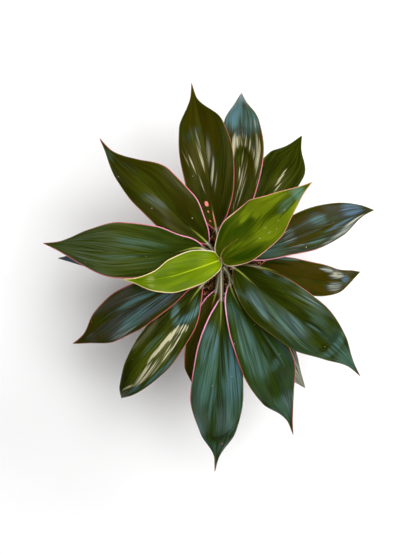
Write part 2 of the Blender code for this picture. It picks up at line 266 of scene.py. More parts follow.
def grid_faces(rows: int, columns: int, closed: bool = False, first: int = 0) -> list:
    """List the faces of a grid of points.

    Args:
        rows: rows of points.
        columns: points in each row.
        closed: whether each row closes on itself.
        first: number of the first point.

    Returns:
        Corner numbers of each face.
    """
    faces = []
    for row in range(rows - 1):
        for k in range(columns if closed else columns - 1):
            a = first + row * columns + k
            b = first + row * columns + (k + 1) % columns
            faces.append((a, b, b + columns, a + columns))
    return faces


def tube_faces(rows: int, sides: int) -> list:
    """List the faces of a grid of points that closes into a tube with a flat cap at both ends.

    Args:
        rows: rings of points.
        sides: points in each ring.

    Returns:
        Corner numbers of each face.
    """
    caps = [list(reversed(range(sides))), list(range((rows - 1) * sides, rows * sides))]
    return grid_faces(rows, sides, closed=True) + caps


def seat(piece: bpy.types.Object, slot: str, *nodes: str) -> None:
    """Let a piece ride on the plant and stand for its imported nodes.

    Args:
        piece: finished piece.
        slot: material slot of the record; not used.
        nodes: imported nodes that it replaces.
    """
    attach(piece, "root")
    if nodes:
        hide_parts(*nodes)
    log.info("%s: %d faces", piece.name, len(piece.data.polygons))


class Age(Enum):
    """How old a leaf is, which sets its colour."""

    GROWN = "grown"
    GREEN = "green"
    LIME = "lime"


class Sheen(Enum):
    """Tone of a patch: teal, violet and cream painted reflections and highlights, deeper or lighter green
    that is partly painted shade and sheen, and pink blush.
    """

    TEAL = (1.0, 0.0, 0.0, 0.0, 0.0)
    BLUE = (1.0, 0.45, 0.0, 0.0, 0.0)
    VIOLET = (0.55, 0.9, 0.0, 0.0, 0.0)
    GREY = (0.35, 0.55, 0.5, 0.0, 0.0)
    CREAM = (0.0, 0.0, 1.0, 0.0, 0.0)
    DEEP = (0.0, 0.0, 0.0, 1.0, 0.0)
    LIGHT = (0.0, 0.0, 0.0, -1.0, 0.0)
    BLUSH = (0.0, 0.0, 0.0, 0.0, 1.0)
    BARE = (0.0, 0.0, 0.0, 0.0, 0.0)


@dataclass(frozen=True)
class LeafFinish:
    """Ti leaf with its natural wax cuticle, grown, not coated: glossy, finely ribbed, pink at its margin.

    The eye gets teal, violet and cream painted reflections and highlights drawn out along the veins,
    deeper green that is partly painted shade in creases and at leaf bases, a deep olive or green body
    with darker and browner drifts, a paler midrib that fades towards the tip and a bright line all round.

    A noise has its size across and along the veins in mm and its levels of detail. A range has the
    value where a tone starts, the one where it is full and, if that is less than all, its full share.
    A relief has its strength and its depth in mm.
    """

    name: str
    deep: str
    body: str
    light: str
    green: str
    brown: str
    # Colours of the teal and violet painted reflections and of the cream painted highlight
    painted_teal_sheen: str
    painted_violet_sheen: str
    painted_cream_sheen: str
    midrib: str
    stalk: str
    stalk_edge: str
    margin_dark: str
    margin_mid: str
    margin_bright: str
    inner_line: str
    underside: str
    speck: str = "#D8DCC4"
    blush: str = "#E07870"
    roughness: float = 0.20
    roughness_spread: tuple = (0.06, 0.08)
    dull_spots: float = 0.2
    dull_underside: float = 0.2
    ior: float = 1.46
    vein_noise: tuple = (0.9, 60.0, 2.0)
    grain_noise: tuple = (2.4, 75.0, 2.0)
    drift_noise: tuple = (9.0, 55.0, 3.0)
    cloud_noise: tuple = (26.0, 38.0, 2.0)
    stroke_noise: tuple = (6.0, 70.0, 1.0)
    body_range: tuple = (0.34, 0.66)
    light_range: tuple = (0.22, 0.42, 0.55)
    grain_range: tuple = (0.6, 0.42, 0.4)
    brown_range: tuple = (0.25, 0.6)
    green_range: tuple = (0.2, 0.6)
    grain_comb: float = 2.4
    stroke_comb: float = 1.6
    comb_depth: float = 1.5
    # How far the painted reflection and highlight patches thin into streaks, and where a patch is full
    painted_sheen_thin: float = 0.05
    cream_thin: float = 0.25
    patch_full: float = 1.15
    thin_gain: float = 0.2
    furrow_range: tuple = (0.9, 0.3)
    furrow_fades: tuple = (0.7, 0.3, 0.5)
    rib_mm: float = 2.0
    rib_core_mm: float = 0.8
    rib_fades: float = 0.2
    stalk_range: tuple = (0.5, 1.6)
    underside_range: tuple = (0.3, 0.7, 0.5)
    inner_range: tuple = (0.85, 0.15, 0.75)
    margin_range: tuple = (0.25, -0.25)
    margin_drift: float = 0.5
    mid_range: tuple = (0.0, 0.5)
    bright_range: tuple = (0.45, 1.0)
    blush_range: tuple = (0.3, 0.7, 0.9)
    speck_spread: float = 0.13
    speck_size: float = 0.13
    speck_range: tuple = (0.0, 0.05)
    speck_share: tuple = (0.80, 0.95, 0.7)
    vein_relief: tuple = (0.4, 0.1)
    grain_relief: tuple = (0.5, 0.22)

    def build(self) -> bpy.types.Material:
        """Mix drifts, painted reflections, highlights and shade, midrib, stalk, underside, margin and specks
        into one finish.

        Returns:
            The material.
        """
        mix = Shading(self.name)
        place = mix.carried("place")["Vector"]
        edge, rib, tone, sheen = (
            mix.parts(mix.carried(key)["Vector"]) for key in ("edge", "rib", "tone", "sheen"))
        fine, grain, broad, cloud, stroke = (
            mix.noise(place, 1.0, detail, (1 / across, 1 / along, 1.0)) for across, along, detail in
            (self.vein_noise, self.grain_noise, self.drift_noise, self.cloud_noise, self.stroke_noise))
        upper, below = tone[2], mix.minus(1.0, tone[2])

        colour = mix.blend(mix.ramp(broad, *self.body_range), self.deep, self.body)
        colour = mix.blend(mix.ramp(mix.times(fine, broad), *self.light_range), colour, self.light)
        colour = mix.blend(mix.ramp(grain, *self.grain_range), colour, self.deep)
        browned = mix.times(mix.ramp(cloud, *self.brown_range), mix.ramp(tone[0], 0.0, 1.0))
        colour = mix.blend(browned, colour, self.brown)
        greened = mix.times(mix.ramp(broad, *self.green_range), mix.ramp(tone[0], 0.0, -1.0))
        colour = mix.blend(greened, colour, self.green)

        # Patches of painted reflection, painted highlight and painted shade are drawn out along the veins, so
        # the darker cuticle shows between their strokes
        comb = mix.plus(mix.times(mix.minus(grain, 0.5), self.grain_comb),
                        mix.times(mix.minus(stroke, 0.5), self.stroke_comb))
        # Deeper green from the tone is partly painted shade in creases and at leaf bases, lighter green is
        # partly a painted sheen; the three sheen masks are painted reflections and highlights
        for mask, shade, thin in ((tone[1], self.deep, 0.0), (mix.times(tone[1], -1.0), self.light, 0.0),
                                  (sheen[0], self.painted_teal_sheen, self.painted_sheen_thin),
                                  (sheen[1], self.painted_violet_sheen, self.painted_sheen_thin),
                                  (sheen[2], self.painted_cream_sheen, self.cream_thin)):
            drawn = mix.times(comb, self.comb_depth + self.comb_depth * thin)
            drawn = mix.times(mask, mix.plus(1.0, drawn))
            colour = mix.blend(mix.ramp(drawn, thin, self.patch_full - self.thin_gain * thin), colour, shade)

        furrow = mix.times(mix.ramp(rib[0], *self.furrow_range), mix.ramp(rib[1], *self.furrow_fades))
        colour = mix.blend(furrow, colour, self.deep)
        tapered = mix.plus(rib[0], mix.times(rib[1], self.rib_core_mm / self.rib_fades))
        raised = mix.times(mix.ramp(tapered, self.rib_mm, self.rib_core_mm),
                           mix.ramp(rib[1], self.rib_fades, 0.0))
        colour = mix.blend(raised, colour, self.midrib)
        stalk = mix.blend(mix.ramp(rib[0], *self.stalk_range), self.stalk, self.stalk_edge)
        colour = mix.blend(rib[2], colour, stalk)
        underside = mix.blend(mix.ramp(fine, *self.underside_range), self.underside, self.body)
        colour = mix.blend(below, colour, underside)

        inner = mix.minus(edge[0], edge[1])
        colour = mix.blend(mix.ramp(inner, *self.inner_range), colour, self.inner_line)
        warm = mix.plus(edge[2], mix.times(mix.minus(broad, 0.5), self.margin_drift))
        margin = mix.blend(mix.ramp(warm, *self.mid_range), self.margin_dark, self.margin_mid)
        margin = mix.blend(mix.ramp(warm, *self.bright_range), margin, self.margin_bright)
        bright = mix.times(mix.ramp(inner, *self.margin_range), mix.minus(1.0, rib[2]))
        colour = mix.blend(bright, colour, margin)
        blushed = mix.times(mix.ramp(mix.carried("blush")["Fac"], *self.blush_range), upper)
        colour = mix.blend(blushed, colour, self.blush)

        dust = mix.add("TexVoronoi", {"Scale": self.speck_spread, "Vector": place}, feature="F1")
        lot = mix.add("SeparateColor", {0: dust["Color"]})
        inside = mix.minus(mix.times(lot[1], self.speck_size), dust["Distance"])
        spot = mix.times(mix.ramp(inside, *self.speck_range), mix.ramp(lot[0], *self.speck_share))
        smoother, rougher = self.roughness_spread
        rough = mix.ramp(fine, 0.0, 1.0, self.roughness + rougher, self.roughness - smoother, soft=False)
        rough = mix.plus(rough, mix.times(spot, self.dull_spots))
        rough = mix.plus(rough, mix.times(below, self.dull_underside))
        ribs = mix.relief(fine, *self.vein_relief)
        return mix.finished({"Base Color": mix.blend(spot, colour, self.speck), "Roughness": rough,
                             "IOR": self.ior, "Normal": mix.relief(grain, *self.grain_relief, ribs)})


GROWN_LEAF = LeafFinish(
    "grown_ti_leaf_waxed_cuticle", deep="#1E2401", body="#2E3403", light="#40480C", green="#1F3803",
    brown="#352C02", painted_teal_sheen="#43604F", painted_violet_sheen="#4C687C", painted_cream_sheen="#B6B090", midrib="#929E40",
    stalk="#C4CAB0", stalk_edge="#9A7484", margin_dark="#4E141C", margin_mid="#CC4E68",
    margin_bright="#F29CC2", inner_line="#646A2E", underside="#4A5426")
GREEN_LEAF = LeafFinish(
    "green_ti_leaf_waxed_cuticle", deep="#263A02", body="#415202", light="#66760C", green="#2C4C02",
    brown="#4C5406", painted_teal_sheen="#5B7E67", painted_violet_sheen="#5A7280", painted_cream_sheen="#A3AC6A", midrib="#46600A",
    stalk="#C2CC90", stalk_edge="#D8B8A8", margin_dark="#C06A50", margin_mid="#F08C98",
    margin_bright="#FFD6D8", inner_line="#98A028", underside="#6F8A2C", roughness=0.26, ior=1.38,
    rib_mm=1.3, rib_fades=0.5)
LIME_LEAF = LeafFinish(
    "lime_ti_leaf_waxed_cuticle", deep="#4A6001", body="#627701", light="#718701", green="#567401",
    brown="#5E6E02", painted_teal_sheen="#8AA468", painted_violet_sheen="#8A9C88", painted_cream_sheen="#A3AC6A", midrib="#A4B81E",
    stalk="#D4DC9C", stalk_edge="#DCC8A8", margin_dark="#D8B088", margin_mid="#F2CCA8",
    margin_bright="#FBDCDC", inner_line="#A8B840", underside="#9CB64A", roughness=0.28, ior=1.34,
    rib_mm=1.4, rib_fades=0.9)
LEAF_FINISHES = {Age.GROWN: GROWN_LEAF, Age.GREEN: GREEN_LEAF, Age.LIME: LIME_LEAF}


@dataclass(frozen=True)
class Edge:
    """Bright margin of one side of a leaf: width in mm and pinkness at its base and at its tip."""

    wide: tuple[float, float] = (1.1, 0.5)
    pink: tuple[float, float] = (0.6, 0.15)
    fades: float = 0.7


@dataclass(frozen=True)
class Leaf:
    """One leaf: where it leaves the cane, its midrib, its half widths from above and its looks.

    Points and widths are in mm from the foot of the pot's axis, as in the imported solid.
    """

    name: str
    node: float
    stalk: tuple
    blade: tuple
    left: tuple
    right: tuple
    phase: float
    age: Age = Age.GROWN
    left_edge: Edge = Edge()
    right_edge: Edge = Edge()
    brown: float = 0.3
    # Share of an even teal painted reflection over the whole leaf, under its patches
    painted_haze: float = 0.1
    petiole: float = 3.0
    fan: float = 1.1
    fold: float = 0.25
    arch: float = 0.24
    wave: float = 1.6
    waves: float = 3.0
    pleat: float = 1.0


PINK = Edge((1.7, 0.5), (1.0, 0.25), 0.75)
LILAC = Edge((1.6, 0.6), (1.05, 0.2), 0.7)
ROSE = Edge((1.2, 0.6), (0.85, 0.35), 0.8)
RED = Edge((0.9, 0.5), (0.5, 0.2), 0.8)
FAINT = Edge((0.8, 0.4), (0.25, 0.0), 0.6)
CREAM = Edge((1.0, 0.8), (0.8, 0.4), 0.9)

LEAVES = (
    Leaf("leaf_lime_west", 258, (),
         ((-4, 3, 268), (-40, -10, 288), (-72, -19, 300), (-103, -22, 302), (-125, -21, 296)),
         (14, 21, 21.5, 15.5, 3.6), (15.5, 24.5, 22, 10, 2.3), 0.4, Age.LIME,
         Edge((0.5, 0.9), (0.7, 0.4)), Edge((0.8, 0.9), (0.9, 0.4)), 0.2, 0.0),
    Leaf("leaf_green_northeast", 256, (),
         ((0.5, 6, 269), (48, 43, 305), (78, 70, 328), (96, 86, 336), (111, 99, 340)),
         (20, 36.5, 36.5, 23.5, 7), (17, 27, 26, 16.5, 4.2), 1.3, Age.GREEN, ROSE,
         Edge((0.8, 0.6), (0.75, 0.3)), 0.4, 0.0),
    Leaf("leaf_west", 249, (),
         ((-23, 18, 264), (-53, 15, 277), (-104, 13, 286), (-143, 15, 281), (-189, 21, 262),
          (-233, 26, 238)),
         (16, 30, 34, 23, 7), (18, 35, 38, 24, 4), 2.1, left_edge=Edge((0.9, 1.1), (0.45, 0.65)),
         right_edge=ROSE, brown=-0.45, painted_haze=0.1),
    Leaf("leaf_southeast", 246, (),
         ((14, -5, 256), (37, -23, 268), (75, -53, 277), (114, -84, 273), (149, -115, 253),
          (185, -150, 213)),
         (18, 33, 35, 24, 5.5), (23, 38, 37, 19, 2), 0.9, left_edge=Edge((0.25, 0.5), (0.0, 1.1)),
         right_edge=Edge((0.5, 0.4), (0.12, 0.1)), brown=-0.3, painted_haze=0.05, petiole=1.8, fan=1.9),
    Leaf("leaf_northwest", 240, ((-11, 16.5, 251),),
         ((-16.5, 24, 256), (-41, 46, 265), (-92, 96, 270), (-131, 131, 257), (-159, 163, 238)),
         (14, 28.5, 29, 21, 5.5), (19, 34.5, 35, 17.5, 1.5), 3.0, left_edge=RED, right_edge=ROSE,
         brown=0.4, painted_haze=0.0, petiole=2.2),
    Leaf("leaf_southwest_upper", 238, ((-21, -12, 250),),
         ((-30, -16, 253), (-54, -27, 259), (-92, -45, 260), (-139, -70, 240), (-174, -94, 218),
          (-198, -107, 200)),
         (13, 25, 31, 27, 8), (13, 25, 28, 21, 4), 0.2, left_edge=Edge((0.9, 0.6), (0.42, 0.45)),
         right_edge=Edge((1.3, 0.9), (0.6, 0.4)), brown=0.7, painted_haze=0.05, petiole=1.7),
    Leaf("leaf_south_southeast", 238, ((9, -14, 245),),
         ((11, -25, 250), (30, -67, 259), (53, -113, 256), (73, -159, 240), (87, -195, 217),
          (97, -230, 192)),
         (18, 31, 34, 18, 4), (17, 32, 36, 27, 3), 1.7, left_edge=Edge((1.1, 0.9), (0.4, 0.55)),
         right_edge=LILAC, brown=-0.6, painted_haze=0.1, petiole=1.4, fan=1.5),
    Leaf("leaf_east", 234, (),
         ((22, 7, 243), (53, 17, 252), (102, 38, 257), (148, 55, 247), (203, 71, 212)),
         (14, 22, 27, 23, 10), (11, 20, 27, 21, 4), 2.6, left_edge=FAINT,
         right_edge=Edge((1.2, 0.3), (0.95, 0.0), 0.8), brown=0.65, painted_haze=0.05),
    Leaf("leaf_north", 232, ((-4, 30, 242),),
         ((-6, 42, 246), (-11, 66, 251), (-17, 120, 257), (-23, 162, 252), (-32, 206, 240),
          (-39, 237, 228)),
         (17, 31, 35, 29, 6), (20, 32, 35, 28, 2), 1.1, left_edge=RED, right_edge=RED, brown=0.55,
         painted_haze=0.0, petiole=2.2, fan=1.5),
    Leaf("leaf_south", 230, ((0, -24, 240),),
         ((0, -45, 246), (-2, -100, 247), (-5, -154, 236), (-7, -224, 203), (-8, -285, 150)),
         (16, 31, 35, 26, 4.5), (18, 31, 35, 21, 1.2), 0.6, left_edge=FAINT, right_edge=PINK, brown=-0.6,
         painted_haze=0.05),
    Leaf("leaf_west_lower", 226, (),
         ((-23, 7, 235), (-80, 3, 246), (-145, 4, 236), (-217, 7, 205)),
         (12, 20, 21, 14, 5), (12, 22, 24, 17, 5), 2.9, painted_haze=0.3),
    Leaf("leaf_north_lower", 224, ((5, 20, 232),),
         ((9, 37, 238), (18, 75, 246), (25, 115, 247), (28, 158, 243), (28, 192, 222), (28, 219, 197),
          (28, 231, 178)),
         (16, 27, 30, 24, 7), (16, 24, 28, 22, 5), 0.1, left_edge=FAINT, right_edge=ROSE, brown=0.5,
         painted_haze=0.0),
    Leaf("leaf_east_lower", 222, ((31, -3, 230),),
         ((49, -5, 234), (83, -14, 238), (130, -22, 230), (165, -20, 208), (187, -11, 190)),
         (18.5, 23.5, 22, 16, 7.5), (10, 21, 21.8, 17.5, 4.8), 1.9, left_edge=RED, right_edge=FAINT,
         brown=0.9, painted_haze=0.0, petiole=2.4),
    Leaf("leaf_southwest", 220, ((-12, -15.5, 228),),
         ((-23.5, -27.5, 233), (-50, -64, 243), (-80, -106, 241), (-110, -149, 224), (-134, -181, 188)),
         (13, 26.5, 28.5, 21.5, 9), (12.5, 25.5, 29, 24.5, 12), 2.4, left_edge=RED, right_edge=FAINT,
         brown=-0.1, painted_haze=0.05, petiole=1.7),
    Leaf("leaf_northeast_lower", 216, (),
         ((14, 23, 226), (40, 65, 234), (67, 105, 233), (91, 137, 220), (108, 171, 198)),
         (16, 27, 31, 28, 9), (16, 27, 31, 28, 6), 0.8, left_edge=FAINT, right_edge=FAINT, brown=0.1,
         painted_haze=0.0),
    Leaf("leaf_southeast_lower", 210, (),
         ((18, -29, 222), (54, -81, 231), (84, -130, 222), (113, -167, 190)),
         (12, 22, 24, 18, 6), (12, 20, 22, 17, 5), 1.5, painted_haze=0.3),
    Leaf("leaf_south_lower", 198, ((-3, -18, 210),),
         ((-6, -35, 220), (-20, -81, 227), (-29, -128, 215), (-32, -177, 188)),
         (10, 20, 24, 18, 6), (12, 18, 21, 19, 6), 2.2, left_edge=FAINT, right_edge=ROSE, brown=0.9,
         painted_haze=0.05, petiole=2.6),
)


@dataclass(frozen=True)
class Patch:
    """One patch on a leaf: a painted reflection or highlight, darker or lighter green that is partly painted
    shade and sheen, or pink blush.

    Its place is a share of the blade's length and one of its half width, from -1 at the right margin
    to 1 at the left one. Its size is half its length and half its breadth in the same shares, and it
    fades from full to none between two reaches, counted in that size. Its slant is how far it climbs
    across the leaf for each share of the length, its lean how far it runs ahead for each share of the
    width, and its bend how far it falls back towards both margins.
    """

    sheen: Sheen
    place: tuple[float, float]
    size: tuple[float, float]
    strength: float
    slant: float = 0.0
    lean: float = 0.0
    bend: float = 0.0
    none_at: float = 1.55
    full_at: float = 0.4

    def mask(self, share: np.ndarray, s: np.ndarray) -> np.ndarray:
        """Find how strongly the patch shows.

        Args:
            share: share of the blade's length at each point.
            s: place across, from -1 to 1.

        Returns:
            Its strength at each point.
        """
        ahead = share - self.place[0] - self.lean * (s - self.place[1]) + self.bend * s * s
        aside = s - self.place[1] - self.slant * (share - self.place[0])
        reach = np.hypot(ahead / self.size[0], aside / self.size[1])
        return self.strength * smoothstep(self.none_at, self.full_at, reach)


# Short names for the tones: teal, blue, violet and grey are painted reflections, gold is the cream painted
# highlight, deep and light are partly painted shade and sheen
TEAL, BLUE, VIOLET, GREY = Sheen.TEAL, Sheen.BLUE, Sheen.VIOLET, Sheen.GREY
PAINTED_GLINT, BARE, DEEP, LIGHT, BLUSH = Sheen.CREAM, Sheen.BARE, Sheen.DEEP, Sheen.LIGHT, Sheen.BLUSH
# Patches on each leaf: painted reflections and highlights, and deeper or lighter green that is partly painted
# shade at creases and leaf bases and partly painted sheen
PATCHES = {
    "leaf_south": (
        Patch(BLUE, (0.23, -0.55), (0.1, 0.5), 0.77), Patch(TEAL, (0.38, -0.35), (0.16, 0.3), 0.68, -1),
        Patch(BLUE, (0.53, -0.18), (0.12, 0.12), 0.51, -1.2),
        Patch(BLUE, (0.36, 0.58), (0.18, 0.42), 0.72, 0.4), Patch(BLUE, (0.44, 0.25), (0.09, 0.14), 0.68),
        Patch(TEAL, (0.58, 0.6), (0.15, 0.45), 0.51), Patch(TEAL, (0.62, 0), (0.12, 0.4), 0.34),
        Patch(BARE, (0.24, 0.13), (0.17, 0.07), 1, 0.5),
        Patch(DEEP, (0.28, 0.15), (0.12, 0.05), 0.9, 0.5), Patch(LIGHT, (0.08, -0.1), (0.08, 0.5), 0.6),
        Patch(BARE, (0.745, 0), (0.012, 1.4), 0.9, bend=0.14),
        Patch(DEEP, (0.745, 0), (0.012, 1.4), 1, bend=0.14),
        Patch(BLUE, (0.83, 0), (0.06, 1.2), 0.51, bend=0.14),
        Patch(BLUE, (0.7, -0.88), (0.1, 0.16), 0.59), Patch(BLUSH, (0.775, 0.5), (0.012, 0.06), 0.6)),
    "leaf_south_southeast": (
        Patch(TEAL, (0.16, -0.55), (0.1, 0.4), 0.34),
        Patch(TEAL, (0.34, -0.45), (0.16, 0.38), 0.58, -0.9),
        Patch(BLUE, (0.38, -0.3), (0.1, 0.24), 0.37, -1.2),
        Patch(TEAL, (0.46, -0.3), (0.1, 0.5), 0.54, -1),
        Patch(BLUE, (0.42, 0.44), (0.13, 0.08), 0.58, 0.8),
        Patch(BLUE, (0.51, 0.22), (0.03, 0.3), 0.54, lean=-0.08),
        Patch(BLUE, (0.5, -0.4), (0.05, 0.4), 0.41, -0.5),
        Patch(BARE, (0.37, 0.28), (0.12, 0.05), 1, 0.9),
        Patch(DEEP, (0.37, 0.28), (0.12, 0.05), 0.9, 0.9), Patch(BARE, (0.36, 0), (0.1, 0.04), 0.8, 0.3),
        Patch(DEEP, (0.4, 0.02), (0.08, 0.04), 0.6, 0.3),
        Patch(BARE, (0.62, -0.1), (0.03, 1.2), 0.6, lean=-0.08),
        Patch(DEEP, (0.62, -0.1), (0.04, 1.2), 0.5, lean=-0.08),
        Patch(GREY, (0.75, 0.4), (0.08, 0.7), 0.55), Patch(TEAL, (0.8, -0.2), (0.1, 0.9), 0.62),
        Patch(DEEP, (0.95, 0), (0.05, 1), 0.6)),
    "leaf_southeast": (
        Patch(BLUE, (0.24, -0.5), (0.1, 0.17), 0.53, -1.6),
        Patch(GREY, (0.19, -0.5), (0.06, 0.08), 0.68, -1.8),
        Patch(BLUE, (0.47, -0.2), (0.07, 0.1), 0.6, -1.6),
        Patch(GREY, (0.42, -0.16), (0.04, 0.05), 0.59, -1.6),
        Patch(TEAL, (0.37, -0.42), (0.12, 0.24), 0.47, -1.6),
        Patch(TEAL, (0.5, -0.62), (0.14, 0.28), 0.38), Patch(BLUE, (0.5, 0.42), (0.1, 0.24), 0.47, 0.8),
        Patch(BLUE, (0.54, 0.1), (0.05, 0.045), 0.77, 1), Patch(BARE, (0.45, 0.27), (0.05, 0.1), 0.8),
        Patch(DEEP, (0.45, 0.27), (0.05, 0.1), 0.8), Patch(LIGHT, (0.36, 0.6), (0.16, 0.34), 0.7, 0.6),
        Patch(GREY, (0.42, 0.74), (0.1, 0.14), 0.53, 1.6),
        Patch(DEEP, (0.16, 0.5), (0.18, 0.6), 0.9, 0.5),
        Patch(DEEP, (0.665, 0), (0.02, 1), 0.8, bend=0.04), Patch(BARE, (0.665, 0), (0.02, 1), 0.8),
        Patch(BLUE, (0.715, 0), (0.03, 1.2), 0.51, bend=0.04), Patch(TEAL, (0.85, 0), (0.1, 1.2), 0.88)),
    "leaf_southwest": (
        Patch(BLUE, (0.21, 0.5), (0.045, 0.5), 0.85, lean=-0.2),
        Patch(BLUE, (0.26, -0.3), (0.04, 0.38), 0.9, lean=0.12),
        Patch(TEAL, (0.14, 0.45), (0.06, 0.3), 0.45),
        Patch(PAINTED_GLINT, (0.32, 0.4), (0.035, 0.24), 1.6, lean=-0.1),
        Patch(PAINTED_GLINT, (0.36, 0.24), (0.06, 0.1), 1.6, -0.5),
        Patch(PAINTED_GLINT, (0.47, 0.1), (0.14, 0.08), 1.5, -0.6),
        Patch(PAINTED_GLINT, (0.42, 0.56), (0.12, 0.05), 1.3, -0.1),
        Patch(PAINTED_GLINT, (0.43, 0.43), (0.1, 0.02), 1, 0.1), Patch(LIGHT, (0.62, 0.1), (0.26, 0.6), 0.9),
        Patch(BARE, (0.42, 0.34), (0.1, 0.03), 1, -0.5),
        Patch(DEEP, (0.45, 0.33), (0.09, 0.04), 0.9, -0.5),
        Patch(PAINTED_GLINT, (0.7, 0.3), (0.15, 0.28), 0.75, -0.6),
        Patch(PAINTED_GLINT, (0.86, -0.1), (0.018, 0.4), 1, lean=-0.14),
        Patch(TEAL, (0.5, -0.27), (0.12, 0.14), 0.45, -1.2),
        Patch(BLUE, (0.62, 0.84), (0.16, 0.12), 0.65, -0.3),
        Patch(BLUE, (0.85, 0.5), (0.07, 0.22), 0.8, -1.5),
        Patch(DEEP, (0.36, -0.6), (0.12, 0.3), 0.7, 0.5), Patch(DEEP, (0.1, -0.4), (0.07, 0.3), 0.5)),
    "leaf_southwest_upper": (
        Patch(GREY, (0.44, 0.15), (0.36, 1), 0.42), Patch(VIOLET, (0.32, 0.4), (0.16, 0.34), 0.75, 0.4),
        Patch(BLUE, (0.34, 0.28), (0.14, 0.18), 0.9, 0.5),
        Patch(BLUE, (0.49, 0.52), (0.14, 0.26), 0.9, 0.7),
        Patch(BLUE, (0.42, -0.18), (0.15, 0.13), 1.05, -0.1),
        Patch(BARE, (0.42, 0.08), (0.14, 0.035), 0.9, 0.5),
        Patch(DEEP, (0.42, 0.08), (0.14, 0.035), 0.8, 0.5),
        Patch(GREY, (0.6, 0.7), (0.15, 0.3), 0.6, 0.5), Patch(GREY, (0.22, 0.6), (0.09, 0.3), 0.35),
        Patch(GREY, (0.84, 0.3), (0.05, 0.6), 0.4), Patch(DEEP, (0.36, 0.84), (0.1, 0.1), 0.6, 0.3)),
    "leaf_west": (
        Patch(GREY, (0.7, 0), (0.3, 1.3), 0.42), Patch(LIGHT, (0.68, 0), (0.34, 1.3), 0.9),
        Patch(TEAL, (0.52, 0.22), (0.13, 0.16), 0.42, 0.3),
        Patch(TEAL, (0.38, -0.32), (0.18, 0.22), 0.4, -0.8), Patch(GREY, (0.84, 0.3), (0.07, 0.6), 0.4),
        Patch(TEAL, (0.35, 0.36), (0.12, 0.14), 0.25, 0.6), Patch(DEEP, (0.12, -0.2), (0.12, 0.5), 0.5),
        Patch(DEEP, (0.34, 0.12), (0.12, 0.05), 0.6)),
    "leaf_west_lower": (Patch(VIOLET, (0.9, 0), (0.2, 1.2), 0.8),),
    "leaf_north": (
        Patch(PAINTED_GLINT, (0.4, 0.49), (0.18, 0.05), 0.46, 1.8),
        Patch(PAINTED_GLINT, (0.45, 0.72), (0.14, 0.045), 0.42, 1.8),
        Patch(PAINTED_GLINT, (0.52, 0.24), (0.17, 0.09), 0.44, 0.5),
        Patch(GREY, (0.44, -0.16), (0.22, 0.22), 0.34, 0.4),
        Patch(PAINTED_GLINT, (0.42, -0.14), (0.2, 0.18), 0.38, 0.4),
        Patch(GREY, (0.64, 0.45), (0.05, 0.4), 0.35, lean=-0.08),
        Patch(DEEP, (0.5, 0.38), (0.14, 0.05), 0.6, 1.2), Patch(DEEP, (0.42, -0.75), (0.3, 0.3), 0.8),
        Patch(DEEP, (0.15, -0.3), (0.12, 0.5), 0.5), Patch(BLUSH, (0.05, 0), (0.09, 0.06), 0.75),
        Patch(BLUSH, (0.183, 0.27), (0.011, 0.1), 1.6), Patch(BLUSH, (0.139, 0.3), (0.007, 0.07), 1.2),
        Patch(BLUSH, (0.075, 0.45), (0.009, 0.1), 0.7)),
    "leaf_north_lower": (
        Patch(BLUE, (0.8, 0.5), (0.14, 0.6), 1.15), Patch(VIOLET, (0.72, 0.6), (0.04, 0.3), 0.5),
        Patch(TEAL, (0.74, -0.45), (0.13, 0.6), 0.6), Patch(GREY, (0.68, -0.5), (0.05, 0.5), 0.55),
        Patch(BLUE, (0.97, 0), (0.12, 1.4), 1.1), Patch(GREY, (0.62, 0), (0.04, 1), 0.45, bend=0.3),
        Patch(PAINTED_GLINT, (0.53, 0.38), (0.08, 0.09), 0.62),
        Patch(PAINTED_GLINT, (0.57, 0), (0.05, 0.95), 0.5, bend=0.3),
        Patch(PAINTED_GLINT, (0.48, -0.75), (0.13, 0.14), 0.52, 0.4),
        Patch(DEEP, (0.5, 0), (0.02, 0.8), 0.7, bend=0.35),
        Patch(PAINTED_GLINT, (0.28, -0.02), (0.14, 0.06), 0.55, -0.9),
        Patch(PAINTED_GLINT, (0.27, -0.22), (0.14, 0.06), 0.52, -0.9),
        Patch(PAINTED_GLINT, (0.4, 0.04), (0.14, 0.05), 0.5, -0.8),
        Patch(PAINTED_GLINT, (0.36, -0.12), (0.12, 0.2), 0.3, -0.8),
        Patch(DEEP, (0.7, 0.13), (0.08, 0.04), 0.8, 0.3),
        Patch(BARE, (0.7, 0.13), (0.08, 0.04), 0.7, 0.3)),
    "leaf_northwest": (
        Patch(GREY, (0.43, 0.25), (0.09, 0.2), 0.5, 1.6), Patch(TEAL, (0.86, 0.45), (0.06, 0.4), 0.4),
        Patch(GREY, (0.72, 0.2), (0.14, 0.8), 0.2), Patch(LIGHT, (0.5, 0), (0.2, 0.6), 0.45),
        Patch(DEEP, (0.12, 0), (0.12, 0.6), 0.6)),
    "leaf_northeast_lower": (
        Patch(PAINTED_GLINT, (0.6, -0.15), (0.09, 0.05), 0.75, 0.4),
        Patch(PAINTED_GLINT, (0.55, -0.28), (0.07, 0.04), 0.55, 0.2),
        Patch(LIGHT, (0.55, -0.2), (0.15, 0.4), 0.35)),
    "leaf_east": (
        Patch(GREY, (0.55, 0), (0.4, 1.4), 0.34), Patch(BLUE, (0.24, -0.35), (0.12, 0.6), 0.55, 0.8),
        Patch(GREY, (0.36, 0.1), (0.06, 0.5), 0.62),
        Patch(BLUE, (0.57, 0.3), (0.06, 0.3), 0.62, lean=-0.06),
        Patch(BARE, (0.46, 0.12), (0.06, 0.14), 0.9), Patch(DEEP, (0.46, 0.12), (0.05, 0.13), 0.5),
        Patch(GREY, (0.37, -0.6), (0.07, 0.25), 0.55), Patch(BARE, (0.56, -0.22), (0.12, 0.05), 0.9, 0.5),
        Patch(DEEP, (0.56, -0.22), (0.12, 0.05), 0.5, 0.5),
        Patch(BARE, (0.68, 0.3), (0.06, 0.26), 1, 0.5), Patch(VIOLET, (0.82, 0.5), (0.09, 0.5), 0.72),
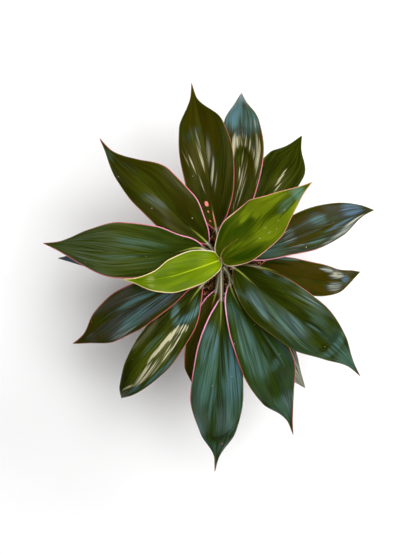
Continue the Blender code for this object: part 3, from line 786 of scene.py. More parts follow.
        Patch(VIOLET, (0.7, -0.28), (0.14, 0.1), 0.65, 0.9),
        Patch(GREY, (0.78, -0.66), (0.14, 0.24), 0.95, 0.9),
        Patch(PAINTED_GLINT, (0.76, -0.78), (0.12, 0.14), 0.45, 0.9),
        Patch(GREY, (0.62, -0.86), (0.1, 0.12), 0.9, 0.3), Patch(BLUE, (0.5, -0.65), (0.07, 0.12), 0.5),
        Patch(BARE, (0.46, 0.8), (0.16, 0.22), 1)),
    "leaf_east_lower": (
        Patch(TEAL, (0.15, 0.92), (0.14, 0.12), 1.5), Patch(DEEP, (0.14, 0.55), (0.12, 0.12), 0.8),
        Patch(GREY, (0.6, 0.72), (0.08, 0.2), 1.1), Patch(GREY, (0.71, 0.42), (0.09, 0.4), 1),
        Patch(GREY, (0.68, -0.45), (0.085, 0.36), 0.95), Patch(VIOLET, (0.81, -0.1), (0.05, 0.4), 0.8),
        Patch(PAINTED_GLINT, (0.69, 0.5), (0.04, 0.15), 0.8), Patch(BARE, (0.7, 0), (0.05, 0.1), 0.8),
        Patch(BARE, (0.95, 0), (0.07, 1.4), 1), Patch(DEEP, (0.95, 0), (0.07, 1.4), 0.9)),
    "leaf_southeast_lower": (Patch(GREY, (0.8, 0), (0.4, 1.4), 1.2),),
    "leaf_lime_west": (
        Patch(PAINTED_GLINT, (0.73, 0), (0.05, 0.9), 0.42), Patch(DEEP, (0.84, 0), (0.05, 0.45), 0.8),
        Patch(DEEP, (0.62, -0.1), (0.09, 0.5), 0.9), Patch(LIGHT, (0.1, 0), (0.14, 0.9), 0.8),
        Patch(DEEP, (0.42, -0.45), (0.12, 0.2), 0.4)),
    "leaf_green_northeast": (
        Patch(DEEP, (0.22, 0.72), (0.13, 0.28), 0.6), Patch(DEEP, (0.34, 0.36), (0.14, 0.16), 0.8, 0.9),
        Patch(LIGHT, (0.4, 0.66), (0.06, 0.14), 1, 0.9),
        Patch(LIGHT, (0.6, 0.66), (0.18, 0.32), 1.6, 0.6),
        Patch(DEEP, (0.26, -0.62), (0.12, 0.26), 1, -1.2),
        Patch(LIGHT, (0.5, -0.3), (0.15, 0.4), 1.3, -0.5), Patch(LIGHT, (0.66, -0.74), (0.18, 0.28), 1.8),
        Patch(LIGHT, (0.22, -0.08), (0.1, 0.16), 0.9, -0.5),
        Patch(PAINTED_GLINT, (0.47, -0.16), (0.02, 0.08), 0.5, -2), Patch(PAINTED_GLINT, (0.48, -0.42), (0.014, 0.05), 0.5),
        Patch(PAINTED_GLINT, (0.54, -0.6), (0.012, 0.05), 0.5), Patch(PAINTED_GLINT, (0.7, -0.22), (0.014, 0.06), 0.6),
        Patch(PAINTED_GLINT, (0.6, -0.34), (0.012, 0.05), 0.5), Patch(TEAL, (0.87, -0.05), (0.055, 1.3), 0.75),
        Patch(TEAL, (0.74, 0), (0.1, 0.35), 0.45, 0.6)),
}


class Midrib:
    """A smooth curve through points in mm, with a set direction where it leaves the cane."""

    def __init__(self, points: tuple, direction: np.ndarray) -> None:
        """Solve the bends of the curve at its points.

        Args:
            points: places that the curve passes, the first one at the cane.
            direction: unit vector along which it sets out.
        """
        self.points = np.asarray(points, float)
        steps = np.linalg.norm(np.diff(self.points, axis=0), axis=1)
        self.knots = np.concatenate(([0.0], np.cumsum(steps)))
        count = len(self.points)
        system, right = np.zeros((count, count)), np.zeros((count, 3))
        slopes = np.diff(self.points, axis=0) / steps[:, None]
        system[0, :2] = 2 * steps[0], steps[0]
        right[0] = 6 * (slopes[0] - direction)
        for k in range(1, count - 1):
            system[k, k - 1:k + 2] = steps[k - 1], 2 * (steps[k - 1] + steps[k]), steps[k]
            right[k] = 6 * (slopes[k] - slopes[k - 1])
        system[-1, -1] = 1.0
        self.bends = np.linalg.solve(system, right)

    def at(self, along: np.ndarray) -> np.ndarray:
        """Read points of the curve.

        Args:
            along: lengths from its start.

        Returns:
            One point for each length.
        """
        k = np.clip(np.searchsorted(self.knots, along) - 1, 0, len(self.knots) - 2)
        span = self.knots[k + 1] - self.knots[k]
        after = ((along - self.knots[k]) / span)[:, None]
        before = 1 - after
        curve = (before ** 3 - before) * self.bends[k] + (after ** 3 - after) * self.bends[k + 1]
        return before * self.points[k] + after * self.points[k + 1] + curve * (span ** 2)[:, None] / 6


def eased(stations: tuple, values: tuple, where: np.ndarray) -> np.ndarray:
    """Read values at stations by a curve that never overshoots them.

    Args:
        stations: places of the values, rising.
        values: the values there.
        where: places to read.

    Returns:
        One value for each place.
    """
    at, value = np.asarray(stations, float), np.asarray(values, float)
    steps = np.diff(at)
    slopes = np.diff(value) / steps
    tangents = np.concatenate(([slopes[0]], np.zeros(len(value) - 2), [slopes[-1]]))
    for k in range(1, len(value) - 1):
        if slopes[k - 1] * slopes[k] > 0:
            tangents[k] = 2 * slopes[k - 1] * slopes[k] / (slopes[k - 1] + slopes[k])
    k = np.clip(np.searchsorted(at, where) - 1, 0, len(steps) - 1)
    share = (where - at[k]) / steps[k]
    square, cube = share ** 2, share ** 3
    return ((2 * cube - 3 * square + 1) * value[k] + (cube - 2 * square + share) * steps[k] * tangents[k]
            + (3 * square - 2 * cube) * value[k + 1] + (cube - square) * steps[k] * tangents[k + 1])


@dataclass
class Foliage:
    """All the leaves, each a fine closed blade with pleats, midrib, rolled margin and waves."""

    cane: Cane
    foot_gap: float = 1.1
    foot_half_width: float = 5.4
    foot_length: float = 9.0
    foot_rise: float = math.radians(62)
    stalk_angle: float = math.radians(72)
    blade_angle: float = math.radians(9)
    stalk_thickness: float = 1.7
    blade_thickness: float = 0.8
    keel: float = 1.0
    keel_width: float = 2.2
    groove: float = 0.35
    groove_width: float = 0.9
    tip_half_width: float = 0.45
    width_stations: tuple = (0.0, 0.1, 0.3, 0.5, 0.7, 0.9, 1.0)
    base_share: float = 0.8
    row_step: float = 2.6
    row_crowding: float = 1.15
    stalk_row_step: float = 2.0
    fewest_stalk_rows: int = 8
    columns: int = 40
    column_crowding: float = 0.45
    half_step: float = 0.5
    opens_before: float = 4.0
    opens_over: float = 0.22
    calm_below: float = 12.0
    side_phase: float = 1.1
    vein_bend: float = 0.45
    vein_span: float = 35.0
    plain_margin: float = 0.8
    plain_tip: float = 0.86
    pleats_from: float = 20.0
    pleat_height: float = 0.09
    pleat_count: float = 8.5
    pleat_parts: tuple = ((0.6, 1.0), (0.45, 1.63), (0.25, 2.4))
    pleat_phase: float = 1.7
    pleat_sway: float = 1.3
    sway_pace: float = 5.0
    drift_height: float = 0.11
    drift_parts: tuple = ((1.0, 7.0, 2.6, 6), (1.0, 13.0, -4.4, 7), (0.7, 21.0, 5.2, 5))
    groove_fades: float = 0.7
    margin_round: float = 0.7
    thinnest: float = 0.02
    edge_fades_from: float = 0.05
    narrow_edge: tuple = (0.35, 0.12)
    stalk_until: float = 0.3
    stalk_widths: tuple = (5.8, 4.2)
    leaves_apart: float = 900.0
    sides_apart: float = 60.0
    finishes: dict = field(default_factory=dict)

    def build(self) -> None:
        """Build and dress every leaf."""
        self.finishes = {age: finish.build() for age, finish in LEAF_FINISHES.items()}
        for number, leaf in enumerate(LEAVES):
            self.make(leaf, np.random.default_rng(100 + number))

    def across(self) -> np.ndarray:
        """Place the columns of one half, closer together by the midrib and at the margin.

        Returns:
            Shares of the half width from 0 to 1.
        """
        even = np.linspace(0.0, 1.0, self.columns)
        crowded = (1 - np.cos(math.pi * even)) / 2
        shares = (1 - self.column_crowding) * even + self.column_crowding * crowded
        return np.unique(np.round(shares, 5))

    def make(self, leaf: Leaf, chance: np.random.Generator) -> None:
        """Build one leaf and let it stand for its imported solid.

        Args:
            leaf: form and looks.
            chance: seeded source of the small differences between leaves.
        """
        first = (leaf.stalk + leaf.blade)[0]
        azimuth = math.atan2(first[1], first[0])
        outward = np.array([math.cos(azimuth), math.sin(azimuth), 0.0])
        up_axis = np.array([0.0, 0.0, 1.0])
        reach = self.cane.reach(leaf.node) + self.foot_gap
        foot = tuple(outward * reach + up_axis * leaf.node)
        rise = outward * math.cos(self.foot_rise) + up_axis * math.sin(self.foot_rise)
        curve = Midrib((foot,) + leaf.stalk + leaf.blade, rise)
        start, end = curve.knots[len(leaf.stalk) + 1], curve.knots[-1]
        count = int((end - start) / self.row_step)
        blade_rows = start + (end - start) * (1 - (1 - np.linspace(0, 1, count)) ** self.row_crowding)
        count = max(self.fewest_stalk_rows, int(start / self.stalk_row_step))
        rows = np.concatenate((np.linspace(0, start, count, endpoint=False), blade_rows))
        half = self.across()
        across = np.concatenate((-half[:0:-1], half))
        along, s = rows[:, None], across[None, :]

        ahead = curve.at(np.minimum(rows + self.half_step, end))
        behind = curve.at(np.maximum(rows - self.half_step, 0.0))
        direction = (ahead - behind) / np.linalg.norm(ahead - behind, axis=1)[:, None]
        left = np.stack((-direction[:, 1], direction[:, 0], np.zeros(len(rows))), 1)
        left /= np.linalg.norm(left, axis=1)[:, None]
        up = np.cross(direction, left)

        clasp = 1 - smoothstep(0.0, self.foot_length, along)
        opened = smoothstep(start - self.opens_before, start + self.opens_over * (end - start), along)
        share = np.clip((along - start) / (end - start), 0.0, 1.0)
        base = (leaf.petiole * self.base_share,)
        tip = (self.tip_half_width,)
        widths = [eased(self.width_stations, base + side + tip, share) for side in (leaf.left, leaf.right)]
        stalk_width = leaf.petiole + clasp * (self.foot_half_width - leaf.petiole)
        width = np.where(along > start, np.where(s > 0, widths[0], widths[1]), stalk_width)
        angle = self.stalk_angle + clasp * (self.foot_half_width / reach - self.stalk_angle)
        angle = angle + opened * (self.blade_angle - angle)
        size = np.abs(s)
        sideways = width * np.sin(angle * s) / angle
        upward = width * (1 - np.cos(angle * s)) / angle
        upward += width * opened * (leaf.fold * size - leaf.arch * size ** 3)
        calm = np.minimum(1.0, width / self.calm_below) * opened
        upward += leaf.wave * calm * s ** 2 * np.sin(
            2 * math.pi * leaf.waves * share + leaf.phase + np.where(s > 0, self.side_phase, 0.0))
        slope = np.arctan2(np.sin(angle * s) + opened * np.sign(s) * (leaf.fold - 3 * leaf.arch * s ** 2),
                           np.cos(angle * s))

        vein = size - leaf.fan * share * (1 - self.vein_bend * size)
        quiet = opened * smoothstep(1.0, self.plain_margin, size) * smoothstep(1.0, self.plain_tip, share)
        quiet = quiet * np.minimum(1, width / self.pleats_from)
        turns = chance.uniform(0, 2 * math.pi, 8) + np.where(s > 0, 0.0, self.pleat_phase)[..., None]
        pleats = sum(weight * np.sin(2 * math.pi * self.pleat_count * pace * vein + turns[..., k]
                                     + self.pleat_sway * np.sin(self.sway_pace * share + turns[..., k + 3]))
                     for k, (weight, pace) in enumerate(self.pleat_parts))
        upward += leaf.pleat * self.pleat_height * quiet * pleats
        drift = sum(weight * np.sin(lengthways * share + crossways * s + turns[..., k])
                    for weight, lengthways, crossways, k in self.drift_parts)
        upward += self.drift_height * quiet * drift
        rib = np.abs(sideways)
        margin = width * (1 - size)
        upward -= self.groove * opened * (1 - self.groove_fades * share) * np.exp(
            -(rib / self.groove_width) ** 2)

        left3, up3 = left[:, None, :], up[:, None, :]
        middle = curve.at(rows)[:, None, :] + left3 * sideways[..., None] + up3 * upward[..., None]
        normal = up3 * np.cos(slope)[..., None] - left3 * np.sin(slope)[..., None]
        thick = self.stalk_thickness + opened * (self.blade_thickness - self.stalk_thickness)
        inward = np.clip(margin / self.margin_round, 0, 1)
        thick = thick * np.sqrt(np.clip(1 - (1 - inward) ** 2, self.thinnest, 1))
        keel = self.keel * opened * (1 - share) * np.exp(-(rib / self.keel_width) ** 2)
        high = middle + normal * (thick / 2)[..., None]
        low = middle - normal * (thick / 2 + keel)[..., None]

        looks = self.looks(leaf, share, s, margin, rib, opened, vein * self.vein_span, along, width)
        self.finish_mesh(leaf, high, low, looks)

    def looks(self, leaf: Leaf, share: np.ndarray, s: np.ndarray, margin: np.ndarray, rib: np.ndarray,
              opened: np.ndarray, vein: np.ndarray, along: np.ndarray, width: np.ndarray) -> dict:
        """Work out what the finish reads at each point of one face.

        Args:
            leaf: form and looks.
            share: share of the blade's length.
            s: place across, from -1 to 1.
            margin: distance from the margin in mm.
            rib: distance from the midrib in mm.
            opened: 0 on the stalk and 1 on the blade.
            vein: coordinate that is even along a vein, in mm.
            along: length along the leaf in mm.
            width: half width of that side in mm.

        Returns:
            One array of vectors for each attribute.
        """
        grid = np.ones_like(margin)
        left = (s > 0) * grid
        fade = [smoothstep(self.edge_fades_from, edge.fades, share)
                for edge in (leaf.left_edge, leaf.right_edge)]

        def side(part: str) -> np.ndarray:
            """Read one measure of both margins along the leaf.

            Args:
                part: name of the measure.

            Returns:
                Its value at each point.
            """
            ends = [getattr(edge, part) for edge in (leaf.left_edge, leaf.right_edge)]
            both = [end[0] + (end[1] - end[0]) * f for end, f in zip(ends, fade)]
            return left * both[0] + (1 - left) * both[1]

        least, gain = self.narrow_edge
        width_limit = np.minimum(side("wide"), least + margin.max(axis=1, keepdims=True) * gain)
        stalk = (1 - smoothstep(0.0, self.stalk_until, opened)) * smoothstep(*self.stalk_widths, width)
        jitter = self.leaves_apart * (1 + leaf.phase)
        tones = self.tones(leaf, share * grid, s * grid)
        return {
            "place": np.stack((vein + self.sides_apart * left, along * grid, jitter * grid), -1),
            "edge": np.stack((margin, width_limit, side("pink")), -1),
            "rib": np.stack((rib, share * grid, stalk), -1),
            # The tone's middle part is deeper or lighter green, partly painted shade and sheen; the sheen
            # holds the painted reflections and highlights
            "tone": np.stack((leaf.brown * grid, tones[..., 3], grid), -1),
            "sheen": tones[..., :3],
            "blush": tones[..., 4],
        }

    def tones(self, leaf: Leaf, share: np.ndarray, s: np.ndarray) -> np.ndarray:
        """Lay the leaf's patches on one face, in their order.

        Args:
            leaf: form and looks.
            share: share of the blade's length at each point.
            s: place across, from -1 to 1.

        Returns:
            Teal, violet and cream painted reflections and highlights, deeper or lighter green that is partly
            painted shade and sheen, and blush at each point.
        """
        # Each leaf starts with its even teal painted reflection
        tones = leaf.painted_haze * np.ones(s.shape + (1,)) * np.array(Sheen.TEAL.value)
        for patch in PATCHES.get(leaf.name, ()):
            mask = patch.mask(share, s)[..., None]
            value = np.array(patch.sheen.value)
            if value[:3].any():
                tones[..., :3] = np.maximum(tones[..., :3], mask * value[:3])
            elif value.any():
                tones[..., 3:] += mask * value[3:]
            else:
                tones[..., :3] *= 1 - mask
        return tones

    def finish_mesh(self, leaf: Leaf, high: np.ndarray, low: np.ndarray, looks: dict) -> None:
        """Close the two faces into one piece.

        Args:
            leaf: form and looks.
            high: grid of points of the upper face, in mm.
            low: grid of points of the lower face.
            looks: attributes of the upper face.
        """
        rows, columns = high.shape[:2]
        below = rows * columns
        faces = grid_faces(rows, columns)
        faces += [tuple(reversed(face)) for face in grid_faces(rows, columns, first=below)]
        for row in range(rows - 1):
            for k in (0, columns - 1):
                a = row * columns + k
                faces.append((a, a + columns, below + a + columns, below + a))
        for row in (0, rows - 1):
            for k in range(columns - 1):
                a = row * columns + k
                faces.append((a, a + 1, below + a + 1, below + a))
        attributes = {}
        for key, values in looks.items():
            other = values.copy()
            if key == "tone":
                other[..., 2] = 0.0
            form = (-1,) + values.shape[2:]
            attributes[key] = np.concatenate((values.reshape(form), other.reshape(form)))
        points = np.concatenate((high.reshape(-1, 3), low.reshape(-1, 3))) * MM
        piece = mesh_object("fine_" + leaf.name, points, faces, self.finishes[leaf.age], attributes)
        seat(piece, "dark_leaf" if leaf.age is Age.GROWN else "young_leaf", leaf.name)


@dataclass
class Spear:
    """The newest leaf, still rolled, with its outer edge lapped round it."""

    base: tuple = (-0.3, 1.5, 262.4)
    path: tuple = ((-1.2, 7.5, 276.0), (0.6, 13.8, 290.0), (4.3, 18.6, 303.0), (10.3, 22.8, 318.0),
                   (18.5, 28.5, 333.0))
    radii: tuple = (1.0, 0.95, 0.9, 0.35)
    stations: tuple = (0.0, 0.35, 0.7, 1.0)
    lap: float = 0.16
    rolled: float = 0.975
    ripple: float = 0.02
    ripples: int = 13
    twist: float = 2.4
    unrolled: tuple = (16, 80, 40)
    edge: tuple = (0.9, 0.75)
    off_rib: float = 9.0
    brown: float = 0.2
    # An even cream painted sheen over the whole spear
    painted_cream_sheen: float = 0.2
    rows: int = 90
    sides: int = 60

    def build(self) -> None:
        """Roll the spear and dress it."""
        curve = Midrib((self.base,) + self.path, np.array([0.0, 0.0, 1.0]))
        share = np.linspace(0, 1, self.rows)
        centre = curve.at(share * curve.knots[-1])[:, None, :]
        radius = eased(self.stations, self.radii, share)[:, None]
        turn = np.linspace(0, 1, self.sides)[None, :]
        angle = 2 * math.pi * turn * self.rolled + self.twist * share[:, None]
        rippled = 1 + self.ripple * np.sin(2 * self.ripples * math.pi * turn)
        reach = radius * (1 + self.lap * (turn - 0.5)) * rippled
        ring = np.stack((np.cos(angle), np.sin(angle), np.zeros_like(angle)), -1)
        points = centre + ring * reach[..., None]
        flat = np.ones_like(reach)
        margin = (1 - turn) * 2 * math.pi * radius
        wide, long, aside = self.unrolled
        attributes = {
            "place": np.stack((turn * wide * flat, share[:, None] * long * flat, aside * flat), -1),
            "edge": np.stack((margin, self.edge[0] * flat, self.edge[1] * flat), -1),
            "rib": np.stack((self.off_rib * flat, flat, 0 * flat), -1),
            "tone": np.stack((self.brown * flat, 0 * flat, flat), -1),
            "sheen": np.stack((0 * flat, 0 * flat, self.painted_cream_sheen * flat), -1),
            "blush": 0 * flat,
        }
        faces = tube_faces(self.rows, self.sides)
        finish = LeafFinish(
            "rolled_ti_leaf_waxed_cuticle", deep="#7E6A14", body="#8C8A1E", light="#B8AC4C",
            green="#8C8A20", brown="#A87A30", painted_teal_sheen="#A8A070", painted_violet_sheen="#B09888", painted_cream_sheen="#D8C890",
            midrib="#C6B43E", stalk="#D4DC9C", stalk_edge="#EAC0C8", margin_dark="#C88870",
            margin_mid="#E8A898", margin_bright="#F6C6C0", inner_line="#C8A868", underside="#9CA64A",
            roughness=0.36).build()
        piece = mesh_object("fine_spear", points.reshape(-1, 3) * MM, faces, finish,
                            {key: value.reshape((-1,) + value.shape[2:])
                             for key, value in attributes.items()}, sharp=50.0)
        seat(piece, "young_leaf", "spear")


@dataclass(frozen=True)
class BarkFinish:
    """Corky bark of a ti cane, grown: dull tan, greener and smoother towards the leaves, ringed."""

    old: str = "#6E563C"
    pale: str = "#A08A66"
    young: str = "#8C8E56"
    crack: str = "#33261A"
    roughness: float = 0.78
    fissure_mm: float = 1.1
    fissure_stretch: tuple = (1.0, 1.0, 0.22)
    fissure_detail: float = 4.0
    blotch_scale: float = 110.0
    blotch_detail: float = 3.0
    greens_over: tuple = (0.175, 0.25)
    crack_range: tuple = (0.44, 0.34)
    relief: tuple = (0.6, 0.4)

    def build(self) -> bpy.types.Material:
        """Mix the bark's colours by height and by its cracks.

        Returns:
            The material.
        """
        mix = Shading("ti_cane_corky_bark")
        where = mix.where()
        fine = mix.noise(where, 1 / (self.fissure_mm * MM), self.fissure_detail, self.fissure_stretch)
        colour = mix.blend(mix.noise(where, self.blotch_scale, self.blotch_detail), self.old, self.pale)
        high = mix.ramp(mix.parts(where)[2], *self.greens_over, soft=False)
        colour = mix.blend(high, colour, self.young)
        dark = mix.sums("MAXIMUM", mix.ramp(fine, *self.crack_range), mix.carried("scar")["Fac"])
        return mix.finished({"Base Color": mix.blend(dark, colour, self.crack),
                             "Roughness": self.roughness, "Normal": mix.relief(fine, *self.relief)})


@dataclass
class Cane:
    """The short stem: rings where leaves have fallen, small buds above some of them."""

    bottom: float = 62.0
    top: float = 262.0
    foot_radius: float = 8.6
    radius: float = 7.0
    top_radius: float = 2.4
    narrows: float = 205.0
    scars: tuple = (144.0, 152.0, 160.0, 168.0, 176.0, 184.0, 192.0)
    scar_height: float = 0.6
    scar_width: float = 1.6
    scar_roundness: float = 1.5
    scar_tilt: float = 0.9
    scar_turn: float = 2.4
    groove_below: float = 0.7
    groove_width: float = 0.35
    groove_darkness: float = 0.8
    bud_height: float = 0.5
    bud_above: float = 2.6
    bud_length: float = 1.5
    bud_angle: float = 0.2
    swell: float = 0.12
    end_length: float = 2.5
    end_narrows: float = 0.28
    rows: int = 200
    sides: int = 72

    def reach(self, height: np.ndarray) -> np.ndarray:
        """Find the cane's radius, which narrows between its upper leaves.

        Args:
            height: heights in mm.

        Returns:
            One radius for each height.
        """
        share = np.clip((height - self.scars[0]) / (self.scars[-1] - self.scars[0]), 0, 1)
        lower = self.foot_radius + share * (self.radius - self.foot_radius)
        return lower - (self.radius - self.top_radius) * smoothstep(self.narrows, self.top, height)

    def build(self) -> None:
        """Turn the cane, ring it and dress it."""
        height = np.linspace(self.bottom, self.top, self.rows)[:, None]
        angle = np.linspace(0, 2 * math.pi, self.sides, endpoint=False)[None, :]
        radius = self.reach(height) + 0 * angle
        groove = np.zeros_like(radius)
        for k, scar in enumerate(self.scars):
            lean = scar + self.scar_tilt * np.sin(angle + self.scar_turn * k)
            near = np.abs(height - lean) / self.scar_width
            radius += self.scar_height * np.clip(1 - near, 0, 1) ** self.scar_roundness
            groove += np.exp(-((height - lean + self.groove_below) / self.groove_width) ** 2)
            around = (angle - self.scar_turn * k - math.pi) % (2 * math.pi) - math.pi
            above = (height - lean - self.bud_above) / self.bud_length
            radius += self.bud_height * np.exp(-(around / self.bud_angle) ** 2 - above ** 2)
        radius += self.swell * np.sin(9 * angle + 0.5 * height) * np.sin(0.21 * height + 3 * angle)
        radius *= 1 - self.end_narrows * smoothstep(self.top - self.end_length, self.top, height)
        points = np.stack((radius * np.cos(angle), radius * np.sin(angle), height + 0 * radius), -1)
        faces = tube_faces(self.rows, self.sides)
        piece = mesh_object("fine_cane", points.reshape(-1, 3) * MM, faces, BarkFinish().build(),
                            {"scar": np.clip(groove, 0, self.groove_darkness).ravel()}, sharp=55.0)
        seat(piece, "cane_bark", "cane")


@dataclass(frozen=True)
class ClayFinish:
    """Terracotta, thrown on a wheel and fired without glaze: matt, grainy, with a pale mineral bloom.

    Scales are marks in a metre. The bloom is thickest below its lower height, in metres.
    """

    body: str = "#B0603A"
    warm: str = "#C8774C"
    deep: str = "#8A452A"
    bloom: str = "#D9BFA6"
    evenness: float = 0.55
    roughness: float = 0.86
    cloud_scale: float = 16.0
    cloud_detail: float = 5.0
    grain_mm: float = 0.6
    grain_detail: float = 3.0
    speck_range: tuple = (0.36, 0.28, 0.5)
    stain_scale: float = 34.0
    stain_detail: float = 6.0
    stain_stretch: tuple = (1.0, 1.0, 0.35)
    stain_roughness: float = 0.62
    stain_range: tuple = (0.52, 0.70)
    bloom_heights: tuple = (0.13, 0.02)
    bloom_shares: tuple = (0.8, 0.25)
    ring_mm: float = 1.4
    ring_waves: float = 6.4
    ring_distortion: float = 1.2
    ring_detail: float = 2.0
    ring_relief: tuple = (0.35, 0.25)
    grain_relief: tuple = (0.5, 0.2)

    def build(self) -> bpy.types.Material:
        """Mix clay, firing shade and mineral bloom, with turning rings and grain in relief.

        Returns:
            The material.
        """
        mix = Shading("terracotta_thrown_unglazed")
        where = mix.where()
        grain = mix.noise(where, 1 / (self.grain_mm * MM), self.grain_detail)
        stain = mix.noise(where, self.stain_scale, self.stain_detail, self.stain_stretch,
                          self.stain_roughness)
        colour = mix.blend(mix.noise(where, self.cloud_scale, self.cloud_detail), self.deep, self.warm)
        colour = mix.blend(self.evenness, colour, self.body)
        low = mix.ramp(mix.parts(where)[2], *self.bloom_heights, *self.bloom_shares, soft=False)
        colour = mix.blend(mix.times(low, mix.ramp(stain, *self.stain_range)), colour, self.bloom)
        colour = mix.blend(mix.ramp(grain, *self.speck_range, soft=False), colour, self.deep)
        rings = mix.add("TexWave", {"Vector": where, "Scale": 1 / (self.ring_mm * MM) / self.ring_waves,
                                    "Distortion": self.ring_distortion, "Detail": self.ring_detail},
                        bands_direction="Z")["Fac"]
        turned = mix.relief(rings, *self.ring_relief)
        return mix.finished({"Base Color": colour, "Roughness": self.roughness,
                             "Normal": mix.relief(grain, *self.grain_relief, turned)})


@dataclass
class Pot:
    """Plain round clay pot with a rim band and four drain holes."""

    height: float = 150.0
    foot_radius: float = 58.0
    neck_radius: float = 79.0
    rim_radius: float = 88.0
    rim_height: float = 32.0
    wall: float = 6.0
    floor: float = 8.0
    edge: float = 1.5
    neck_round: float = 1.2
    band_inset: float = 0.6
    band_round: float = 1.8
    lip_round: float = 2.4
    shoulder_round: float = 5.0
    floor_round: float = 3.0
    corner_points: int = 6
    longest_step: float = 4.0
    skim: float = 0.25
    most_wave: float = 0.2
    calm_foot: float = 12.0
    drain_radius: float = 5.0
    drain_circle: float = 32.0
    drains: int = 4
    sides: int = 144

    def profile(self) -> list[tuple[float, float]]:
        """Draw the wall's outline, in mm, closed on the axis at both ends.

        Returns:
            Radius and height of each point, with its corners rounded.
        """
        neck = self.height - self.rim_height
        inner_foot = self.foot_radius - self.wall + (self.neck_radius - self.foot_radius) / neck * self.floor
        inner_neck, inner_rim = self.neck_radius - self.wall, self.rim_radius - self.wall
        corners = [
            (0.0, 0.0, 0), (self.foot_radius, 0.0, self.edge), (self.neck_radius, neck, self.neck_round),
            (self.rim_radius - self.band_inset, neck + self.edge, self.band_round),
            (self.rim_radius, self.height, self.lip_round), (inner_rim, self.height, self.lip_round),
            (inner_neck, neck - 4 * self.edge, self.shoulder_round),
            (inner_foot, self.floor, self.floor_round), (0.0, self.floor, 0)]
        points = [corners[0][:2]]
        for before, corner, after in zip(corners, corners[1:], corners[2:]):
            here = np.array(corner[:2])
            back = np.array(before[:2]) - here
            ahead = np.array(after[:2]) - here
            back, ahead = back / np.linalg.norm(back), ahead / np.linalg.norm(ahead)
            for share in np.linspace(0, 1, self.corner_points):
                start, end = here + back * corner[2], here + ahead * corner[2]
                points.append(tuple((1 - share) ** 2 * start + 2 * share * (1 - share) * here
                                    + share ** 2 * end))
        points.append(corners[-1][:2])
        return self.filled(points)

    def filled(self, points: list) -> list[tuple[float, float]]:
        """Add points between far ones, so that the wall can carry its throwing waves.

        Args:
            points: outline with its rounded corners.

        Returns:
            The outline with short steps alone.
        """
        full = [points[0]]
        for a, b in zip(points, points[1:]):
            steps = max(1, int(math.dist(a, b) / self.longest_step))
            start, way = np.array(a), np.array(b) - np.array(a)
            full += [tuple(start + way * k / steps) for k in range(1, steps + 1)]
        return full

    def build(self) -> None:
        """Turn the pot, drill its holes and dress it."""
        clay = ClayFinish().build()
        profile = self.profile()
        vertices, rings = [], []
        for radius, height in profile:
            if radius == 0.0:
                rings.append([len(vertices)] * self.sides)
                vertices.append((0.0, 0.0, height * MM))
                continue
            rings.append(list(range(len(vertices), len(vertices) + self.sides)))
            lift = min(1.0, height / self.calm_foot)
            for k in range(self.sides):
                angle = 2 * math.pi * k / self.sides
                wave = 0.12 * math.sin(height * 0.55 + 0.4 * math.sin(angle)) + 0.1 * math.sin(3 * angle + 1)
                reach = (radius - self.skim * lift + lift * min(self.most_wave, wave)) * MM
                vertices.append((reach * math.cos(angle), reach * math.sin(angle), height * MM))
        faces = []
        for low, high in zip(rings, rings[1:]):
            for k in range(self.sides):
                after = (k + 1) % self.sides
                faces.append(list(dict.fromkeys([low[k], low[after], high[after], high[k]])))
        pot = mesh_object("fine_pot", np.array(vertices), faces, clay, sharp=60.0)
        for k in range(self.drains):
            self.drill(pot, 2 * math.pi * (k + 0.5) / self.drains)
        seat(pot, "fired_clay", "pot")

    def drill(self, pot: bpy.types.Object, angle: float) -> None:
        """Cut one drain hole through the pot's floor.

        Args:
            pot: piece to cut.
            angle: where on the circle of holes.
        """
        shape = bmesh.new()
        bmesh.ops.create_cone(shape, cap_ends=True, segments=28, radius1=self.drain_radius * MM,
                              radius2=self.drain_radius * MM, depth=4 * self.floor * MM)
        mesh = bpy.data.meshes.new("drill")
        shape.to_mesh(mesh)
        shape.free()
        drill = stand("drill", mesh)
        circle = self.drain_circle * MM
        drill.location = (circle * math.cos(angle), circle * math.sin(angle), 0)
        cut = pot.modifiers.new("drain", "BOOLEAN")
        cut.operation, cut.object = "DIFFERENCE", drill
        bpy.context.view_layer.update()
        done = bpy.data.meshes.new_from_object(pot.evaluated_get(bpy.context.evaluated_depsgraph_get()))
        pot.modifiers.clear()
        pot.data = done
        bpy.data.objects.remove(drill, do_unlink=True)


@dataclass(frozen=True)
class CrumbFinish:
    """One kind of crumb in damp potting mix: milled bark, peat, or popped perlite."""

    name: str
    dark: str
    pale: str
    roughness: float = 0.9
    grain_mm: float = 1.2
    grain_detail: float = 4.0
    patch_scale: float = 130.0
    patch_detail: float = 2.0
    pale_range: tuple = (0.75, 1.25)
    relief: tuple = (0.7, 0.4)

    def build(self) -> bpy.types.Material:
        """Mix two shades by a fine grain, with the grain in relief.

        Returns:
            The material.
        """
        mix = Shading(self.name)
        where = mix.where()
        grain = mix.noise(where, 1 / (self.grain_mm * MM), self.grain_detail)
        both = mix.plus(grain, mix.noise(where, self.patch_scale, self.patch_detail))
        share = mix.ramp(both, *self.pale_range, soft=False)
        return mix.finished({"Base Color": mix.blend(share, self.dark, self.pale),
                             "Roughness": self.roughness, "Normal": mix.relief(grain, *self.relief)})


@dataclass(frozen=True)
class Crumb:
    """One kind of crumb on the soil: how many, half lengths in mm, and length, width and height as shares."""

    name: str
    count: int
    sizes: tuple[float, float]
    form: tuple[float, float, float]
    finish: CrumbFinish


